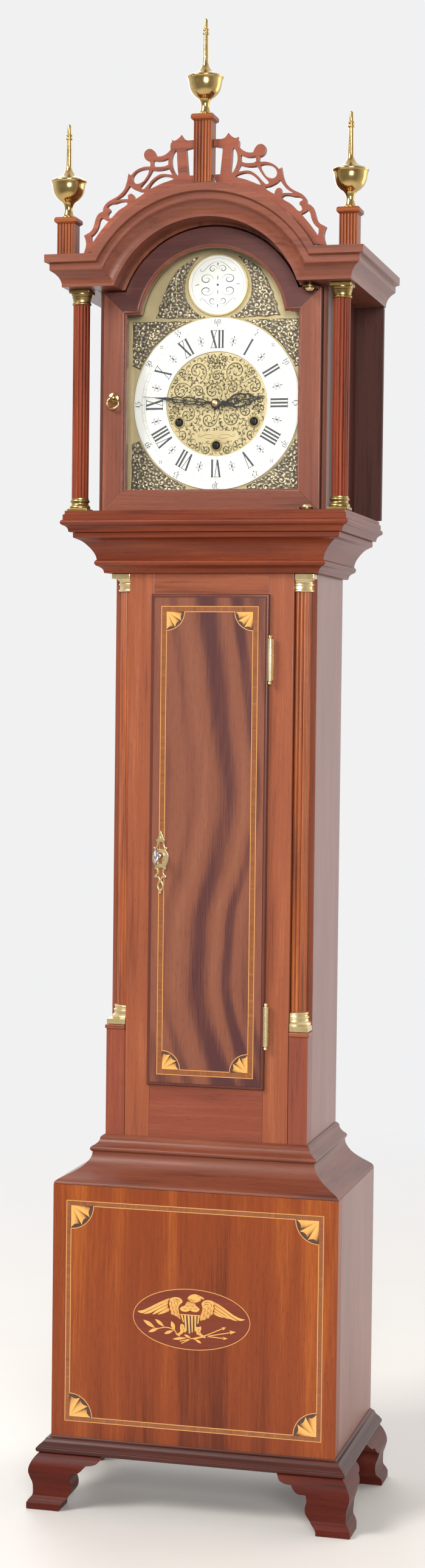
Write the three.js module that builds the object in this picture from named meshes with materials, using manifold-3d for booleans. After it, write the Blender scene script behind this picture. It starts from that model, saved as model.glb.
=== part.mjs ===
// Dwarf grandfather clock: a short longcase clock with an arched hood, a waist with quarter columns
// and a panelled base on ogee bracket feet. Millimetres, +Z up, +X to the right, the front faces -Y.
// Inside the "clock" group y = 0 is the front face of the base box and +y runs to the back; the group
// is shifted so that the part's origin is the centre of its footprint on the floor.
import * as THREE from "three";
import { mergeVertices } from "three/addons/utils/BufferGeometryUtils.js";
import Module from "manifold-3d";

// ---------------------------------------------------------------- driving dimensions
const BACK = 159.6; // depth of the case, base front to back plane
const FOOT_OUT = 16.5; // overhang of the feet in front of the base
const FINIAL_R = 15.3; // widest turning of the finials
const CREST_Y = -4; // depth of the centre plinth's axis
const CENTRE_Y = (BACK + CREST_Y - FINIAL_R) / 2; // the centre finial's cup is the foremost point
const GAP = 0.3; // clearance between touching pieces

const FOOT_H = 47.0;
const BASE_HALF = 125;
const BASE_TOP = 278.3;
const WAIST_HALF = 89.45;
const WAIST_FRONT = 35.5;
const WAIST_STILE = 72.3; // half width to the outside of the front stiles
const WAIST_TOP = 803.0;
const CHEEK_TOP = 852.0; // waist sides run up to carry the seat board
const COL_Q = 12; // quarter column radius
const COL_X = 72.8; // inner corner of the corner notch
const COL_Y = 52.2;

const DOOR_HALF = 52;
const DOOR_FRONT = 31;
const DOOR_Z0 = 362.4;
const DOOR_Z1 = 785.1;
const JAMB = 50.3; // half width of the opening behind the lipped door
const WH_X = 53.4; // waist door hinge axis
const WH_Y = 30.6;
const KEY_X = -41;
const KEY_Z = 561;

const HOOD_Z0 = 836.7;
const HOOD_TOP = 854.5; // top of the hood base, where the columns stand
const HOOD_HALF = 99.7;
const HOOD_BACK = 153.2;
const SOFFIT = 1043.3; // underside of the cornice
const ARCH_Z = 1014.5; // centre height of the concentric arches
const ARCH_LIP = 84.2; // radius of the cornice's lower lip
const CORNICE_H = 25.8;
const CORNICE_HALF = 125; // half width at the lip
const COLUMN_X = 113.5;
const COLUMN_Y = 21;

const HD_HALF = 94.7; // hood door
const HD_FRONT = 24.5;
const HD_BACK = 34.5;
const HD_Z0 = 855.2;
const HD_SHOULDER = 1041.2;
const HD_ARCH = 80;
const HP_X = 87; // hood door pivot axis
const HP_Y = 14;

const DIAL_Y = 47.3;
const DIAL_Z = 947.9; // hand centre
const WIND = [
  ["left", -33, 932.5],
  ["center", 0, 912.5],
  ["right", 33, 932.5],
];
const SWING_Z = 985; // pendulum and anchor axis
const PEND_Y = 122;

// ---------------------------------------------------------------- materials
const mat = (color, roughness, metalness = 0, extra = {}) =>
  new THREE.MeshStandardMaterial({ color, roughness, metalness, ...extra });
const M = {
  mahogany: () => mat(0x7a4334, 0.4),
  figured: () => mat(0x6e3c31, 0.35),
  dark: () => mat(0x4a2620, 0.45),
  amber: () => mat(0x9c5530, 0.4),
  secondary: () => mat(0x8a6a48, 0.7),
  brass: () => mat(0xc9a85a, 0.25, 1),
  brassPlate: () => mat(0xb8974f, 0.4, 1),
  steel: () => mat(0xb9bcc0, 0.3, 1),
  black: () => mat(0x151516, 0.5, 0.3),
  white: () => mat(0xf2efe8, 0.5),
  glass: () => mat(0xffffff, 0.05, 0, { transparent: true, opacity: 0.2 }),
};

// ---------------------------------------------------------------- geometry helpers
const wasm = await Module();
wasm.setup();

// A closed three.js geometry as a solid, with its faces turned outwards.
function solid(geometry) {
  const loose = geometry.index ? geometry.toNonIndexed() : geometry;
  const bare = new THREE.BufferGeometry().setAttribute(
    "position",
    loose.getAttribute("position").clone(),
  );
  const merged = mergeVertices(bare, 1e-4);
  const index = merged.index.array;
  const tri = [];
  for (let i = 0; i < index.length; i += 3) {
    const [a, b, c] = [index[i], index[i + 1], index[i + 2]];
    if (a !== b && b !== c && a !== c) tri.push(a, b, c);
  }
  const make = (t) =>
    new wasm.Manifold(
      new wasm.Mesh({
        numProp: 3,
        vertProperties: new Float32Array(merged.attributes.position.array),
        triVerts: new Uint32Array(t),
      }),
    );
  const s = make(tri);
  if (s.volume() > 0) return s;
  const flipped = [];
  for (let i = 0; i < tri.length; i += 3)
    flipped.push(tri[i], tri[i + 2], tri[i + 1]);
  return make(flipped);
}

function geometryOf(s) {
  const m = s.getMesh();
  const pos = new Float32Array(m.numVert * 3);
  for (let i = 0; i < m.numVert; i++)
    pos.set(m.vertProperties.subarray(i * m.numProp, i * m.numProp + 3), i * 3);
  const g = new THREE.BufferGeometry()
    .setAttribute("position", new THREE.BufferAttribute(pos, 3))
    .setIndex(new THREE.BufferAttribute(new Uint32Array(m.triVerts), 1));
  g.computeVertexNormals();
  return g;
}

const join = (first, ...rest) => rest.reduce((a, b) => a.add(b), first);
const cut = (first, ...rest) => rest.reduce((a, b) => a.subtract(b), first);

const box = (x0, x1, y0, y1, z0, z1) =>
  solid(
    new THREE.BoxGeometry(x1 - x0, y1 - y0, z1 - z0).translate(
      (x0 + x1) / 2,
      (y0 + y1) / 2,
      (z0 + z1) / 2,
    ),
  );

// An outline without repeated points or points on a straight run.
const lean = (pts) => {
  const n = pts.length;
  return pts.filter(([x, y], i) => {
    const [px, py] = pts[(i + n - 1) % n],
      [qx, qy] = pts[(i + 1) % n];
    return Math.abs((x - px) * (qy - y) - (y - py) * (qx - x)) > 1e-6;
  });
};
const points = (pts) => lean(pts).map(([a, b]) => new THREE.Vector2(a, b));
const shapeOf = (pts, holes = []) => {
  const s = new THREE.Shape(points(pts));
  for (const h of holes) s.holes.push(new THREE.Path(points(h)));
  return s;
};
const extrude = (pts, depth, holes) =>
  new THREE.ExtrudeGeometry(shapeOf(pts, holes), {
    depth,
    bevelEnabled: false,
    curveSegments: 1,
  });
// Outlines in (x, z), (y, z) and (x, y), swept along the third axis.
const alongY = (pts, y0, y1, holes) =>
  solid(
    extrude(pts, y1 - y0, holes)
      .rotateX(Math.PI / 2)
      .translate(0, y1, 0),
  );
const alongX = (pts, x0, x1, holes) =>
  solid(
    extrude(pts, x1 - x0, holes)
      .applyMatrix4(
        new THREE.Matrix4().makeBasis(
          new THREE.Vector3(0, 1, 0),
          new THREE.Vector3(0, 0, 1),
          new THREE.Vector3(1, 0, 0),
        ),
      )
      .translate(x0, 0, 0),
  );
const alongZ = (pts, z0, z1, holes) =>
  solid(extrude(pts, z1 - z0, holes).translate(0, 0, z0));

// A turned piece: profile [radius, height] about a vertical axis.
const turned = (profile, x, y, segments = 12) =>
  solid(
    new THREE.LatheGeometry(
      profile.map(([r, z]) => new THREE.Vector2(r, z)),
      segments,
    )
      .rotateX(Math.PI / 2)
      .translate(x, y, 0),
  );
// A round bar along Y or Z.
const barY = (r, x, z, y0, y1, n = 16) =>
  solid(new THREE.CylinderGeometry(r, r, y1 - y0, n).translate(x, (y0 + y1) / 2, z));
const barZ = (r, x, y, z0, z1, n = 16) =>
  solid(
    new THREE.CylinderGeometry(r, r, z1 - z0, n)
      .rotateX(Math.PI / 2)
      .translate(x, y, (z0 + z1) / 2),
  );
const barX = (r, y, z, x0, x1, n = 12) =>
  solid(
    new THREE.CylinderGeometry(r, r, x1 - x0, n)
      .rotateZ(Math.PI / 2)
      .translate((x0 + x1) / 2, y, z),
  );

// A solid swept through rings of points that all share one closed profile.
function loft(rings) {
  const n = rings[0].length;
  const pos = [];
  const idx = [];
  for (const ring of rings) for (const p of ring) pos.push(...p);
  for (let i = 0; i + 1 < rings.length; i++)
    for (let j = 0; j < n; j++) {
      const a = i * n + j,
        b = i * n + ((j + 1) % n),
        c = a + n,
        d = b + n;
      idx.push(a, c, b, b, c, d);
    }
  return { pos, idx, n, rings };
}
function closeLoft(l, profile) {
  const faces = THREE.ShapeUtils.triangulateShape(
    profile.map(([a, b]) => new THREE.Vector2(a, b)),
    [],
  );
  const turn = THREE.ShapeUtils.isClockWise(
    profile.map(([a, b]) => new THREE.Vector2(a, b)),
  );
  const last = (l.rings.length - 1) * l.n;
  for (const [a, b, c] of faces) {
    if (turn) l.idx.push(a, c, b, last + a, last + b, last + c);
    else l.idx.push(a, b, c, last + a, last + c, last + b);
  }
  const g = new THREE.BufferGeometry()
    .setAttribute("position", new THREE.Float32BufferAttribute(l.pos, 3))
    .setIndex(l.idx);
  return solid(g);
}
// A moulding mitred round the front and both sides: profile [half width, height].
const wrap = (profile, backY = BACK) =>
  closeLoft(
    loft([
      profile.map(([h, z]) => [-h, backY, z]),
      profile.map(([h, z]) => [-h, BASE_HALF - h, z]),
      profile.map(([h, z]) => [h, BASE_HALF - h, z]),
      profile.map(([h, z]) => [h, backY, z]),
    ]),
    profile,
  );

const arc = (r, cx, cz, a0, a1, n) =>
  Array.from({ length: n + 1 }, (_, i) => {
    const a = a0 + ((a1 - a0) * i) / n;
    return [cx + r * Math.cos(a), cz + r * Math.sin(a)];
  });
// An outline with straight sides, shoulders and a round arch over them.
const breakArch = (half, z0, shoulder, r, cz, n = 20) => {
  const a = Math.asin((shoulder - cz) / r);
  return [
    [-half, z0],
    [half, z0],
    [half, shoulder],
    ...arc(r, 0, cz, a, Math.PI - a, n),
    [-half, shoulder],
  ];
};
const mirrored = (pts) => pts.map(([x, z]) => [-x, z]).reverse();

// Gear outline about the origin with teeth of trapezoid form.
function gear(teeth, module, phase = 0) {
  const rp = (teeth * module) / 2,
    ra = rp + 0.82 * module,
    rf = rp - 1.12 * module,
    step = (2 * Math.PI) / teeth,
    pts = [];
  for (let i = 0; i < teeth; i++) {
    const a = phase + i * step;
    for (const [r, d] of [
      [rf, -0.29],
      [ra, -0.1],
      [ra, 0.1],
      [rf, 0.29],
    ])
      pts.push([r * Math.cos(a + d * step), r * Math.sin(a + d * step)]);
  }
  return pts;
}
const moved = (pts, x, z) => pts.map(([a, b]) => [a + x, b + z]);

// ---------------------------------------------------------------- scene graph
const root = new THREE.Group();
const clock = new THREE.Group();
clock.name = "clock";
clock.position.set(0, -CENTRE_Y, 0);
root.add(clock);
const group = (name, parent = clock) => {
  const g = new THREE.Group();
  g.name = name;
  parent.add(g);
  return g;
};
const caseGroup = group("case_group");
const waistDoorGroup = group("waist_door_group");
const movementGroup = group("movement_group");
const hoodGroup = group("hood_group");
const hoodDoorGroup = group("hood_door_group", hoodGroup);
function put(parent, name, s, material) {
  const mesh = new THREE.Mesh(geometryOf(s), material);
  mesh.name = name;
  parent.add(mesh);
}

// ---------------------------------------------------------------- ogee bracket feet
const OGEE = [
  [8.1, FOOT_H],
  [11.8, 42.6],
  [14.7, 36.9],
  [15.45, 31.8],
  [14.2, 26.7],
  [12.5, 21.6],
  [12.05, 16.2],
  [12.4, 11],
  [14.9, 7.9],
  [FOOT_OUT, 5.1],
  [FOOT_OUT, 0],
];
// Scalloped inner edge of the bracket: distance from the base face line, height.
const SCALLOP = [
  [48.2, FOOT_H],
  [45, 42.3],
  [39.6, 40.3],
  [34.7, 39.9],
  [33.1, 37.1],
  [28.7, 33.5],
  [21.6, 32.9],
  [21.2, 27.6],
  [22.9, 21.4],
  [22.4, 16.1],
  [18.1, 9.9],
  [13.2, 4.2],
  [12.7, 0],
];
const openBelow = (pts) => [
  ...pts,
  [pts[pts.length - 1][0], -5],
  [90, -5],
  [90, FOOT_H + 5],
  [pts[0][0], FOOT_H + 5],
];
const ogeeFront = alongX(
  [...OGEE.map(([o, z]) => [-o, z]), [60, 0], [60, FOOT_H]],
  -150,
  -60,
);
const ogeeSide = alongY(
  [...OGEE.map(([o, z]) => [-BASE_HALF - o, z]), [-60, 0], [-60, FOOT_H]],
  -40,
  BACK,
);
const frontLeftFoot = cut(
  ogeeFront.intersect(ogeeSide),
  box(-117, 0, 8, 100, -5, 60),
  alongY(
    openBelow(SCALLOP).map(([d, z]) => [d - BASE_HALF, z]),
    -40,
    8.5,
  ),
  alongX(openBelow(SCALLOP), -160, -116.5),
);
const rearLeftFoot = cut(
  ogeeSide.intersect(box(-160, -117, BACK - 64.7, BACK, -1, 60)),
  alongX(
    openBelow(SCALLOP).map(([d, z]) => [BACK - FOOT_OUT - d, z]),
    -160,
    -60,
  ),
);
const flipX = (s) => s.mirror([1, 0, 0]);
put(caseGroup, "foot_front_left", frontLeftFoot, M.dark());
put(caseGroup, "foot_front_right", flipX(frontLeftFoot), M.dark());
put(caseGroup, "foot_rear_left", rearLeftFoot, M.dark());
put(caseGroup, "foot_rear_right", flipX(rearLeftFoot), M.dark());

// ---------------------------------------------------------------- base
const BOX_Z0 = FOOT_H + GAP;
put(
  caseGroup,
  "base_molding",
  wrap([
    [BASE_HALF + GAP, 60.4],
    [128.7, 58.4],
    [130.7, 55.6],
    [134.4, 52.2],
    [135.4, 50],
    [135, 48.9],
    [134, BOX_Z0],
    [BASE_HALF + GAP, BOX_Z0],
  ]),
  M.dark(),
);
put(
  caseGroup,
  "base_front_panel",
  box(-BASE_HALF, BASE_HALF, 0, 14, BOX_Z0, BASE_TOP),
  M.figured(),
);
put(
  caseGroup,
  "base_left_side",
  box(-BASE_HALF, -113, 14 + GAP, BACK, BOX_Z0, BASE_TOP),
  M.mahogany(),
);
put(
  caseGroup,
  "base_right_side",
  box(113, BASE_HALF, 14 + GAP, BACK, BOX_Z0, BASE_TOP),
  M.mahogany(),
);
put(
  caseGroup,
  "waist_base_molding",
  wrap([
    [WAIST_HALF + GAP, 317.3],
    [92.9, 314.9],
    [93.5, 312.2],
    [97.1, 308.3],
    [99.8, 305.5],
    [98.3, 303.2],
    [99.1, 299],
    [100.8, 296.1],
    [103.3, 292.7],
    [109.5, 288.1],
    [115.8, 284.7],
    [121.2, 282.2],
    [123, 279.8],
    [124.9, BASE_TOP + GAP],
    [WAIST_HALF + GAP, BASE_TOP + GAP],
  ]),
  M.mahogany(),
);

// ---------------------------------------------------------------- waist
const WAIST_Z0 = BASE_TOP + 0.7;
// Each side carries the corner plinth under its quarter column and the return behind it.
const leftWaist = join(
  box(-WAIST_HALF, -77.5, COL_Y + GAP, BACK, WAIST_Z0, CHEEK_TOP),
  box(-WAIST_HALF, -72.6, COL_Y + GAP, 66, WAIST_Z0, CHEEK_TOP),
  box(-WAIST_HALF, -72.6, WAIST_FRONT, COL_Y + 1, WAIST_Z0, 409.4),
  box(-90.6, -72.6, 34.3, COL_Y + 1, 409, 413),
);
put(caseGroup, "waist_left_side", leftWaist, M.mahogany());
put(caseGroup, "waist_right_side", flipX(leftWaist), M.mahogany());
put(
  caseGroup,
  "waist_front_frame",
  alongY(
    [
      [-WAIST_STILE, WAIST_Z0],
      [WAIST_STILE, WAIST_Z0],
      [WAIST_STILE, CHEEK_TOP],
      [-WAIST_STILE, CHEEK_TOP],
    ],
    WAIST_FRONT,
    COL_Y,
    [
      [
        [-JAMB, 366],
        [-JAMB, 781.5],
        [JAMB, 781.5],
        [JAMB, 366],
      ],
    ],
  ),
  M.amber(),
);
// Quarter column: plinth cap, turned base, shaft and capital in the corner notch.
const quarter = (r, z0, z1) =>
  alongZ(
    [
      [-COL_X, COL_Y],
      ...arc(r, -COL_X, COL_Y, -Math.PI / 2, -Math.PI, 6),
    ],
    z0,
    z1,
  );
const square = (w, z0, z1) =>
  box(-COL_X - w, -COL_X, COL_Y - w, COL_Y, z0, z1);
const leftQuarter = join(
  square(16.4, 413.4, 418),
  quarter(15.6, 417.5, 421.5),
  quarter(13.4, 421, 428),
  quarter(COL_Q, 427.5, 788.5),
  quarter(13.4, 788, 792),
  quarter(14.6, 791.5, 798),
  square(16.2, 797.5, 802.7),
);
put(caseGroup, "waist_column_left", leftQuarter, M.amber());
put(caseGroup, "waist_column_right", flipX(leftQuarter), M.amber());
put(
  caseGroup,
  "waist_top_molding",
  wrap([
    [WAIST_HALF + GAP, WAIST_TOP],
    [94.3, WAIST_TOP],
    [94.8, 804.9],
    [96.5, 807.2],
    [99, 808.7],
    [101.1, 811.7],
    [99.5, 813.9],
    [100.7, 818],
    [104.1, 824],
    [109.6, 829.4],
    [115.9, 832.2],
    [115.9, HOOD_Z0 - GAP],
    [WAIST_HALF + GAP, HOOD_Z0 - GAP],
  ]),
  M.mahogany(),
);
// One tall backboard: wide in the base, between the sides in the waist, with ears behind the hood.
const archEnd = Math.asin((1063.8 - ARCH_Z) / 100);
put(
  caseGroup,
  "backboard",
  alongY(
    [
      [-112.7, BOX_Z0],
      [112.7, BOX_Z0],
      [112.7, BASE_TOP],
      [77.2, BASE_TOP],
      [77.2, HOOD_TOP + 0.7],
      [124, HOOD_TOP + 0.7],
      [124, SOFFIT - GAP],
      [99.6, SOFFIT - GAP],
      [99.6, 1063.8],
      ...arc(100, 0, ARCH_Z, archEnd, Math.PI - archEnd, 16),
      [-99.6, 1063.8],
      [-99.6, SOFFIT - GAP],
      [-124, SOFFIT - GAP],
      [-124, HOOD_TOP + 0.7],
      [-77.2, HOOD_TOP + 0.7],
      [-77.2, BASE_TOP],
      [-112.7, BASE_TOP],
    ],
    HOOD_BACK + 0.4,
    BACK,
  ),
  M.secondary(),
);
// Seat board across the cheeks, notched at the back for the pendulum.
put(
  caseGroup,
  "seat_board",
  alongZ(
    [
      [-86, 58],
      [86, 58],
      [86, 150],
      [32, 150],
      [32, 113],
      [-32, 113],
      [-32, 150],
      [-86, 150],
    ],
    CHEEK_TOP + GAP,
    CHEEK_TOP + 10,
  ),
  M.secondary(),
);

// ---------------------------------------------------------------- waist door, its hinges and its lock
const keyholeOutline = (r, w, drop) => {
  const a = Math.asin(w / r);
  return moved(
    [
      [-w, -drop],
      [w, -drop],
      ...arc(r, 0, 0, -Math.PI / 2 + a, 1.5 * Math.PI - a, 14),
    ],
    KEY_X,
    KEY_Z,
  );
};
const HINGES = [
  ["upper", 711, 748],
  ["lower", 399.8, 435.1],
];
const doorPanel = cut(
  join(
    box(-DOOR_HALF, DOOR_HALF, DOOR_FRONT, WAIST_FRONT - GAP, DOOR_Z0, DOOR_Z1),
    box(-47.8, 48.2, WAIST_FRONT - 0.5, 46, 366.8, 780.7),
  ),
  alongY(keyholeOutline(2.5, 1.4, 7), 20, 60),
  ...HINGES.map(([, z0, z1]) => box(50.7, 60, 20, 36, z0 - 3, z1 + 3)),
);
put(waistDoorGroup, "waist_door", doorPanel, M.figured());
// Pin hinges with ball tips, let into the edge of the door and screwed to the stile.
for (const [name, z0, z1] of HINGES) {
  const barrel = turned(
    [
      [0, z0 - 2.6],
      [1.5, z0 - 2],
      [1.9, z0 - 0.8],
      [1.3, z0 + 0.4],
      [2.2, z0 + 0.8],
      [2.2, z1 - 0.8],
      [1.3, z1 - 0.4],
      [1.9, z1 + 0.8],
      [1.5, z1 + 2],
      [0, z1 + 2.6],
    ],
    WH_X,
    WH_Y,
    12,
  );
  put(
    caseGroup,
    "waist_hinge_" + name,
    join(
      barrel,
      box(WH_X + 0.2, 56.4, 33.6, WAIST_FRONT - GAP, z0 + 1, z1 - 1),
      box(WH_X + 0.6, WH_X + 2, WH_Y, 34.5, z0 + 1, z1 - 1),
    ),
    M.brass(),
  );
}
const rel = (pts) => moved(pts, KEY_X, KEY_Z);
const plateOutline = rel([
  [0, -31.7],
  [2.2, -29],
  [4.6, -25],
  [3.2, -20.5],
  [5.4, -16],
  [4.2, -12],
  [6.2, -8.6],
  [7.8, -3],
  [7.8, 2.4],
  [6.0, 6.6],
  [6.4, 9.6],
  [4.2, 13],
  [4.6, 17],
  [0, 22.7],
  [-4.6, 17],
  [-4.2, 13],
  [-6.4, 9.6],
  [-6.0, 6.6],
  [-7.8, 2.4],
  [-7.8, -3],
  [-6.2, -8.6],
  [-4.2, -12],
  [-5.4, -16],
  [-3.2, -20.5],
  [-4.6, -25],
  [-2.2, -29],
]);
put(
  waistDoorGroup,
  "escutcheon",
  cut(
    alongY(plateOutline, 29.7, DOOR_FRONT - GAP),
    alongY(keyholeOutline(2.5, 1.4, 7), 20, 40),
  ),
  M.brass(),
);
put(
  waistDoorGroup,
  "lock_case",
  cut(
    box(-46.5, -20, 46.3, 55.2, KEY_Z - 17, KEY_Z + 17),
    box(-45, -21.5, 47.5, 60, KEY_Z - 15.5, KEY_Z + 15.5),
    box(-50, -44, 52.4, 60, KEY_Z - 5.5, KEY_Z + 5.5),
    alongY(keyholeOutline(2.5, 1.4, 7), 40, 50),
  ),
  M.brassPlate(),
);
put(
  waistDoorGroup,
  "lock_bolt",
  box(-46.3, -26, 52.8, 54.8, KEY_Z - 5, KEY_Z + 5),
  M.steel(),
);
const bow = alongX(
  Array.from({ length: 16 }, (_, i) => {
    const a = (i / 16) * 2 * Math.PI;
    return [17.2 + 5.2 * Math.cos(a), KEY_Z + 7.2 * Math.sin(a)];
  }),
  KEY_X - 1.2,
  KEY_X + 1.2,
  [
    Array.from({ length: 12 }, (_, i) => {
      const a = (i / 12) * 2 * Math.PI;
      return [17.2 + 2.9 * Math.cos(a), KEY_Z + 4.6 * Math.sin(a)];
    }),
  ],
);
put(
  waistDoorGroup,
  "door_key",
  join(
    barY(1.5, KEY_X, KEY_Z, 22, 52.2, 12),
    barY(2.1, KEY_X, KEY_Z, 22.6, 24.4, 12),
    bow,
    box(KEY_X - 0.8, KEY_X + 0.8, 48.2, 51.8, KEY_Z - 6.3, KEY_Z),
  ),
  M.steel(),
);

// ---------------------------------------------------------------- dial and movement
const MOON_Z = 1049;
put(
  movementGroup,
  "dial_plate",
  join(
    cut(
      alongY(breakArch(79.5, 866.5, 1025, 67, ARCH_Z, 20), DIAL_Y, DIAL_Y + 2),
      barY(4, 0, DIAL_Z, 40, 60),
      ...WIND.map(([, x, z]) => barY(4, x, z, 40, 60, 12)),
    ),
    ...[
      [-56, 884],
      [56, 884],
      [-56, 994],
      [56, 994],
    ].map(([x, z]) => barY(2.5, x, z, DIAL_Y + 1, 61.7, 8)),
  ),
  M.brassPlate(),
);
put(
  movementGroup,
  "chapter_ring",
  cut(
    barY(73.3, 0, DIAL_Z, DIAL_Y - 1.5, DIAL_Y - GAP, 48),
    barY(44.6, 0, DIAL_Z, 40, 60, 36),
  ),
  M.white(),
);
put(
  movementGroup,
  "arch_disc",
  barY(26.5, 0, MOON_Z, DIAL_Y - 1.8, DIAL_Y - GAP, 36),
  M.white(),
);
const plate = [
  [-62, 862.6],
  [62, 862.6],
  [62, 1004],
  [-62, 1004],
];
const MINUTE_WHEEL_Z = DIAL_Z + 24;
put(
  movementGroup,
  "movement_front_plate",
  cut(
    alongY(plate, 62, 64.5),
    barY(2, 0, DIAL_Z, 50, 70),
    barY(1.7, 0, MINUTE_WHEEL_Z, 50, 70, 12),
    ...WIND.map(([, x, z]) => barY(3.3, x, z, 50, 70, 12)),
  ),
  M.brassPlate(),
);
put(
  movementGroup,
  "movement_back_plate",
  cut(
    join(
      alongY(plate, 108, 110.5),
      ...[
        [-55, 872],
        [55, 872],
        [-55, 996],
        [55, 996],
      ].map(([x, z]) => barY(3.2, x, z, 64.8, 109, 8)),
      // suspension cock over the pendulum
      box(-16, 16, 109, PEND_Y + 6, 996, 1000),
      box(-5, 5, PEND_Y - 6, PEND_Y + 6, SWING_Z + 2.6, 997),
    ),
    ...WIND.map(([, x, z]) => barY(2, x, z, 100, 120, 12)),
    barY(2.1, 0, SWING_Z, 100, 114, 12),
  ),
  M.brassPlate(),
);
// Spring barrels on their winding arbors.
for (const [name, x, z] of WIND) {
  const y0 = name === "center" ? 88 : 66;
  put(
    movementGroup,
    "spring_barrel_" + name,
    join(
      box(x - 2, x + 2, 45.6, 60, z - 2, z + 2),
      barY(2.9, x, z, 58, 107.6, 12),
      barY(1.6, x, z, 107, 110.4, 8),
      barY(23.5, x, z, y0, y0 + 17, 24),
      barY(25.5, x, z, y0 + 15.5, y0 + 18, 24),
    ),
    M.brass(),
  );
}
// Motion work: a 6-leaf cannon pinion drives an 18-tooth wheel, whose 6-leaf pinion drives the 24-tooth hour wheel.
const hand = (pts, angle) =>
  pts.map(([u, w]) => [
    w * Math.cos(angle) + u * Math.sin(angle),
    DIAL_Z - w * Math.sin(angle) + u * Math.cos(angle),
  ]);
const CLOCK_H = 2,
  CLOCK_M = 46;
const minuteAngle = (CLOCK_M / 60) * 2 * Math.PI;
const hourAngle = ((CLOCK_H + CLOCK_M / 60) / 12) * 2 * Math.PI;
const minuteShape = [
  [-16, -1.1],
  [-14, -1.8],
  [-6, -1.3],
  [0, -3.4],
  [10, -1.3],
  [38, -3],
  [46, -1],
  [63, 0],
  [46, 1],
  [38, 3],
  [10, 1.3],
  [0, 3.4],
  [-6, 1.3],
  [-14, 1.8],
  [-16, 1.1],
];
const hourShape = [
  [-4.5, -2],
  [0, -4.6],
  [10, -1.6],
  [20, -5.6],
  [30, -5.4],
  [35, -1.4],
  [43, 0],
  [35, 1.4],
  [30, 5.4],
  [20, 5.6],
  [10, 1.6],
  [0, 4.6],
  [-4.5, 2],
];
const HALF_LEAF = Math.PI / 6,
  UP = Math.PI / 2;
put(
  movementGroup,
  "minute_hand",
  join(
    alongY(hand(minuteShape, minuteAngle), 41.4, 42.2),
    barY(2.6, 0, DIAL_Z, 39.6, 41.8, 12),
    barY(1.4, 0, DIAL_Z, 41, 66.5, 12),
    alongY(moved(gear(6, 2, UP + HALF_LEAF), 0, DIAL_Z), 55.2, 58),
  ),
  M.black(),
);
put(
  movementGroup,
  "hour_hand",
  cut(
    join(
      alongY(hand(hourShape, hourAngle), 43.6, 44.4),
      barY(3.2, 0, DIAL_Z, 43, 53.4, 12),
      alongY(moved(gear(24, 1.6, UP + Math.PI / 24), 0, DIAL_Z), 51, 53.4),
    ),
    barY(1.9, 0, DIAL_Z, 30, 70, 12),
  ),
  M.black(),
);
put(
  movementGroup,
  "minute_wheel",
  join(
    alongY(moved(gear(18, 2, -UP), 0, MINUTE_WHEEL_Z), 55.6, 57.6),
    alongY(moved(gear(6, 1.6, -UP), 0, MINUTE_WHEEL_Z), 50.8, 55.8),
    barY(1.3, 0, MINUTE_WHEEL_Z, 50, 64.4, 10),
  ),
  M.brass(),
);
// Anchor, arbor and crutch on the pendulum's own axis.
const pallet = (r0, r1, a0, a1) => [
  ...arc(r1, 0, SWING_Z, a0, a1, 8),
  ...arc(r0, 0, SWING_Z, a1, a0, 8),
];
put(
  movementGroup,
  "anchor_crutch",
  join(
    barY(1.5, 0, SWING_Z, 92, 115, 10),
    alongY(
      pallet(2.5, 18, (-150 / 180) * Math.PI, (-30 / 180) * Math.PI),
      97,
      99.4,
    ).subtract(
      alongY(
        pallet(6, 15.4, (-160 / 180) * Math.PI, (-20 / 180) * Math.PI),
        90,
        110,
      ).subtract(box(-3, 3, 80, 120, SWING_Z - 18, SWING_Z)),
    ),
    box(-1.5, 1.5, 97, 99.4, SWING_Z - 4, SWING_Z),
    box(-1.6, 1.6, 112.6, 114.6, 922, SWING_Z),
    box(-6, 6, 112.6, 114.6, 920, 924),
    box(-6, -3.4, 112.6, 124, 920, 924),
    box(3.4, 6, 112.6, 124, 920, 924),
  ),
  M.steel(),
);
const BOB_Z = 600;
put(
  movementGroup,
  "pendulum_rod",
  join(
    box(-4, 4, PEND_Y - 0.3, PEND_Y + 0.3, 966, SWING_Z + 2),
    box(-2.6, 2.6, PEND_Y - 1, PEND_Y + 1, BOB_Z + 32.6, 968),
  ),
  M.brassPlate(),
);
put(
  movementGroup,
  "pendulum_bob",
  join(
    solid(
      new THREE.LatheGeometry(
        [
          [0, -6],
          [14, -5.2],
          [26, -3],
          [32, -0.8],
          [32, 0.8],
          [26, 3],
          [14, 5.2],
          [0, 6],
        ].map(([r, y]) => new THREE.Vector2(r, y)),
        28,
      ).translate(0, PEND_Y, BOB_Z),
    ),
    barZ(1.5, 0, PEND_Y, BOB_Z - 46, BOB_Z - 30, 8),
    barZ(4.5, 0, PEND_Y, BOB_Z - 42, BOB_Z - 37, 12),
  ),
  M.brass(),
);

// ---------------------------------------------------------------- hood
const pinHole = (z0, z1) => barZ(2, HP_X, HP_Y, z0, z1, 16);
put(
  hoodGroup,
  "hood_base_frame",
  cut(
    wrap([
      [90.5, HOOD_Z0],
      [119, HOOD_Z0],
      [119.6, 839.5],
      [121.3, 841.2],
      [123.3, 842.4],
      [124.8, 844.4],
      [124.2, 846.2],
      [123, 846.9],
      [123, 851.2],
      [121.6, 852.2],
      [121.6, HOOD_TOP],
      [90.5, HOOD_TOP],
    ]),
    pinHole(848, 860),
  ),
  M.mahogany(),
);
const leftHoodSide = box(
  -HOOD_HALF,
  -88.2,
  43 + GAP,
  HOOD_BACK,
  HOOD_TOP + GAP,
  1063.8,
);
put(hoodGroup, "hood_left_side", leftHoodSide, M.mahogany());
put(hoodGroup, "hood_right_side", flipX(leftHoodSide), M.mahogany());
const boardEnd = Math.asin((1063.8 - ARCH_Z) / 100);
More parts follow.
